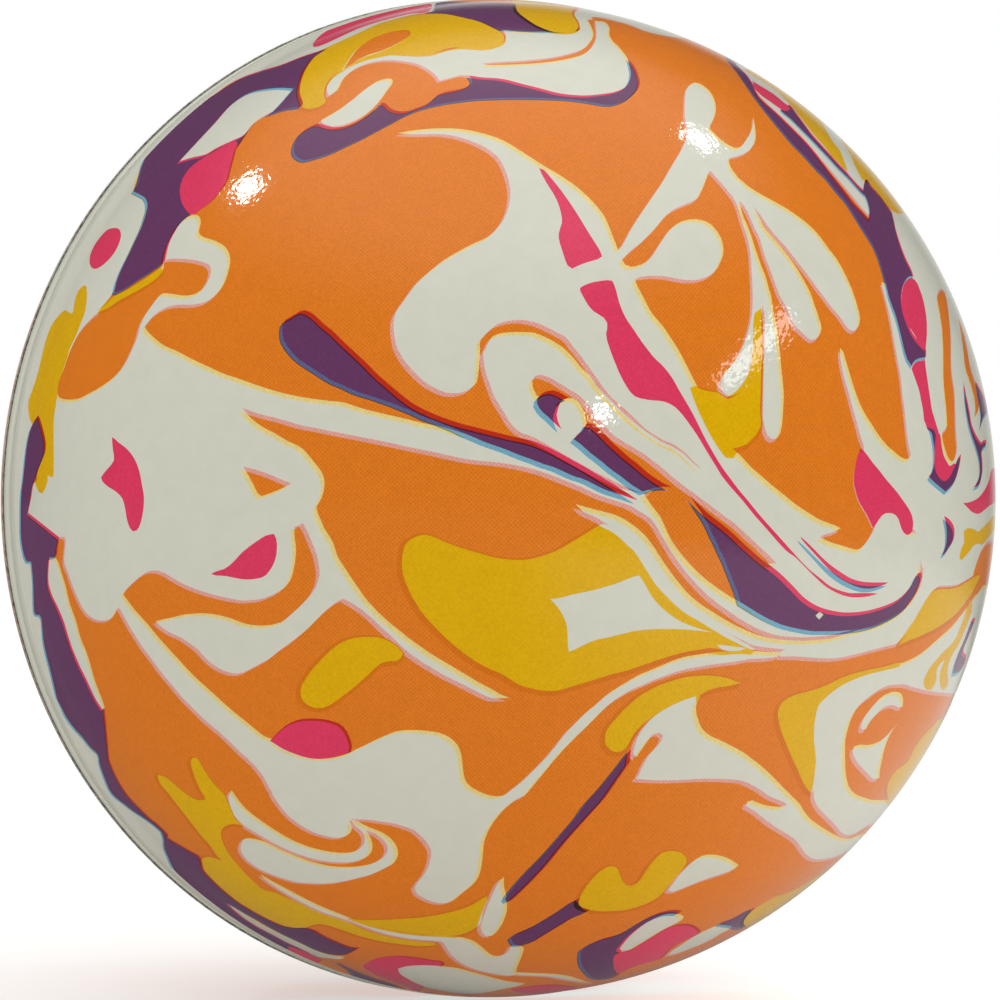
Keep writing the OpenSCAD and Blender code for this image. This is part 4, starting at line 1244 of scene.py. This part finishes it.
# The photo pixels where the ball mirrors the lamps, read off. The window's glint is a streak, so it
# has two ends. All lamps are so many metres away.
LEFT_GLINT = (250, 190)
RIGHT_GLINT = (697, 142)
FRONT_GLINT = (600, 415)
WINDOW_LOW = (720, 385)
WINDOW_HIGH = (790, 315)
WINDOW_GLINT = [(low + high) / 2 for low, high in zip(WINDOW_LOW, WINDOW_HIGH)]
LAMP_DISTANCE = 1.0
# The camera's sensor in mm, the picture's side in pixels, and the nearest that it sees in metres.
SENSOR = 36
PICTURE = 1000
CLIP_START = 0.01


def lamp_way(x, y):
    """The direction that the ball, taken as round, mirrors to the camera at a photo pixel."""
    eye, right, up, ahead = view_axes()
    ray = ahead + (right * (x - DISC_X) + up * (DISC_Y - y)) / VIEW_SCALE
    ray /= np.linalg.norm(ray)
    b = -eye @ ray
    normal = (eye + ray * (b - math.sqrt(b * b - eye @ eye + BALL_R ** 2))) / BALL_R
    return Vector(ray - 2 * (ray @ normal) * normal)


_, right, _, ahead = view_axes()
rightward = Vector(right)
away = Vector(-ahead)
floor_z = cad_box[0][2]
corners = [(x * FLOOR_HALF, y * FLOOR_HALF, floor_z) for x, y in ((-1, -1), (1, -1), (1, 1), (-1, 1))]
floor_mesh = bpy.data.meshes.new("floor")
floor_mesh.from_pydata(corners, [], [(0, 1, 2, 3)])
floor = bpy.data.objects.new("floor", floor_mesh)
bpy.context.scene.collection.objects.link(floor)

# White paper: matt, glowing evenly, more in the patch; the gloss mirrors a dimmer glow of it.
paper = blank_material("white_paper_sweep")
tree = paper.node_tree
path = node(tree, "ShaderNodeLightPath")
coords = node(tree, "ShaderNodeTexCoord")
spot = coords.outputs["Object"]
patch = rightward * PATCH_OUT + Vector((0, 0, floor_z))
reach = node(tree, "ShaderNodeVectorMath", [(0, spot), (1, patch)], operation="DISTANCE")
near = node(tree, "ShaderNodeMapRange", [("Value", reach.outputs["Value"])],
            interpolation_type="SMOOTHSTEP", From_Min=PATCH_END, From_Max=PATCH_FULL)
glow = node(tree, "ShaderNodeMath", [(0, near.outputs["Result"]), (1, PATCH_GLOW), (2, FLOOR_GLOW)],
            operation="MULTIPLY_ADD")
surface = node(tree, "ShaderNodeBsdfPrincipled", [("Emission Strength", glow.outputs["Value"])],
               Base_Color=srgb(FLOOR_GREY), Roughness=0.9, Emission_Color=WHITE)
out_right = node(tree, "ShaderNodeVectorMath", [(0, spot), (1, rightward)], operation="DOT_PRODUCT")
far_right = node(tree, "ShaderNodeMapRange", [("Value", out_right.outputs["Value"])],
                 interpolation_type="SMOOTHSTEP", From_Min=RIGHT_FROM, From_Max=RIGHT_FULL)
close = node(tree, "ShaderNodeMapRange", [("Value", reach.outputs["Value"])],
             interpolation_type="SMOOTHSTEP", From_Min=MIRRORED_END, From_Max=MIRRORED_FULL)
lit = node(tree, "ShaderNodeMath", [(0, far_right.outputs["Result"]), (1, close.outputs["Result"])],
           operation="MULTIPLY")
level = node(tree, "ShaderNodeMath",
             [(0, lit.outputs["Value"]), (1, FLOOR_MIRRORED_RIGHT), (2, FLOOR_MIRRORED)],
             operation="MULTIPLY_ADD")
way = node(tree, "ShaderNodeVectorMath", [(0, spot)], operation="NORMALIZE")
straight = node(tree, "ShaderNodeVectorMath", [(0, way.outputs["Vector"]), (1, -away)],
                operation="DOT_PRODUCT")
behind = node(tree, "ShaderNodeMapRange", [("Value", straight.outputs["Value"])],
              interpolation_type="SMOOTHSTEP", From_Min=BEHIND_LOW, From_Max=BEHIND_HIGH)
level = node(tree, "ShaderNodeMath",
             [(0, behind.outputs["Result"]), (1, BEHIND_LIGHT), (2, level.outputs["Value"])],
             operation="MULTIPLY_ADD")
dim = node(tree, "ShaderNodeEmission", [("Strength", level.outputs["Value"])], Color=WARM_WHITE)
either = node(tree, "ShaderNodeMixShader", [(0, path.outputs["Is Glossy Ray"]),
                                            (1, surface.outputs["BSDF"]),
                                            (2, dim.outputs["Emission"])])
node(tree, "ShaderNodeOutputMaterial", [("Surface", either.outputs["Shader"])])
floor_mesh.materials.append(paper)

# The room as light, then as the gloss mirrors it, then plain white behind the ball for the camera.
world = bpy.data.worlds.new("studio")
bpy.context.scene.world = world
world.use_nodes = True
tree = world.node_tree
tree.nodes.clear()
path = node(tree, "ShaderNodeLightPath")
coords = node(tree, "ShaderNodeTexCoord")
way = coords.outputs["Generated"]
height = node(tree, "ShaderNodeVectorMath", [(0, way), (1, (0, 0, 1))], operation="DOT_PRODUCT")
facing = node(tree, "ShaderNodeVectorMath", [(0, way), (1, away)], operation="DOT_PRODUCT")
level = node(tree, "ShaderNodeMath", [(0, facing.outputs["Value"]), (1, ROOM_AHEAD), (2, ROOM_BASE)],
             operation="MULTIPLY_ADD")
level = node(tree, "ShaderNodeMath",
             [(0, height.outputs["Value"]), (1, ROOM_ABOVE), (2, level.outputs["Value"])],
             operation="MULTIPLY_ADD")
room = node(tree, "ShaderNodeBackground", [("Strength", level.outputs["Value"])], Color=WHITE)
overhead = node(tree, "ShaderNodeMapRange", [("Value", height.outputs["Value"])],
                interpolation_type="SMOOTHSTEP", From_Min=CEILING_LOW, From_Max=CEILING_HIGH)
level = node(tree, "ShaderNodeMath", [(0, overhead.outputs["Result"]), (1, CEILING_LIGHT), (2, ROOM_DIM)],
             operation="MULTIPLY_ADD")
straight = node(tree, "ShaderNodeVectorMath", [(0, way), (1, -away)], operation="DOT_PRODUCT")
behind = node(tree, "ShaderNodeMapRange", [("Value", straight.outputs["Value"])],
              interpolation_type="SMOOTHSTEP", From_Min=BEHIND_LOW, From_Max=BEHIND_HIGH)
level = node(tree, "ShaderNodeMath",
             [(0, behind.outputs["Result"]), (1, BEHIND_LIGHT), (2, level.outputs["Value"])],
             operation="MULTIPLY_ADD")
mirrored = node(tree, "ShaderNodeBackground", [("Strength", level.outputs["Value"])], Color=WARM_WHITE)
seen = node(tree, "ShaderNodeBackground", Color=WHITE, Strength=1.0)
unseen = node(tree, "ShaderNodeMixShader", [(0, path.outputs["Is Glossy Ray"]),
                                            (1, room.outputs["Background"]),
                                            (2, mirrored.outputs["Background"])])
mix = node(tree, "ShaderNodeMixShader", [(0, path.outputs["Is Camera Ray"]),
                                         (1, unseen.outputs["Shader"]),
                                         (2, seen.outputs["Background"])])
node(tree, "ShaderNodeOutputWorld", [("Surface", mix.outputs["Shader"])])

# The left and right lamps run with the view, square to the left one's light. The window runs along its
# streak.
left_way = lamp_way(*LEFT_GLINT)
paired = left_way * left_way.dot(away) - away
streak = lamp_way(*WINDOW_HIGH) - lamp_way(*WINDOW_LOW)
# Each lamp: its glint, which way its length runs, its sizes in metres, its watts.
lamps = (
    ("lamp_left", LEFT_GLINT, paired, (0.11, 0.065), 0.65),
    ("lamp_right", RIGHT_GLINT, paired, (0.078, 0.07), 0.36),
    ("lamp_front", FRONT_GLINT, Vector((1, 0, 0)), (0.06, 0.06), 0.3),
    ("window_side", WINDOW_GLINT, streak, (0.46, 0.05), 0.5),
)
for name, glint, along, size, power in lamps:
    lamp = bpy.data.lights.new(name, "AREA")
    lamp.shape = "RECTANGLE"
    lamp.size, lamp.size_y = size
    lamp.energy = power
    holder = bpy.data.objects.new(name, lamp)
    way = lamp_way(*glint).normalized()
    side_way = (along - way * way.dot(along)).normalized()
    holder.location = way * LAMP_DISTANCE
    holder.rotation_euler = Matrix((side_way, way.cross(side_way), way)).transposed().to_euler()
    bpy.context.scene.collection.objects.link(holder)
bpy.context.scene.view_settings.view_transform = "Standard"

camera_data = bpy.data.cameras.new("photo_camera")
camera_data.sensor_width = SENSOR
camera_data.lens = SENSOR * VIEW_SCALE / PICTURE
camera_data.shift_x = (PICTURE / 2 - DISC_X) / PICTURE
camera_data.shift_y = (DISC_Y - PICTURE / 2) / PICTURE
camera_data.clip_start = CLIP_START
camera = bpy.data.objects.new("photo_camera", camera_data)
camera.location = away * VIEW_DISTANCE * MM
camera.rotation_euler = away.to_track_quat("Z", "Y").to_euler()
bpy.context.scene.collection.objects.link(camera)
bpy.context.scene.camera = camera
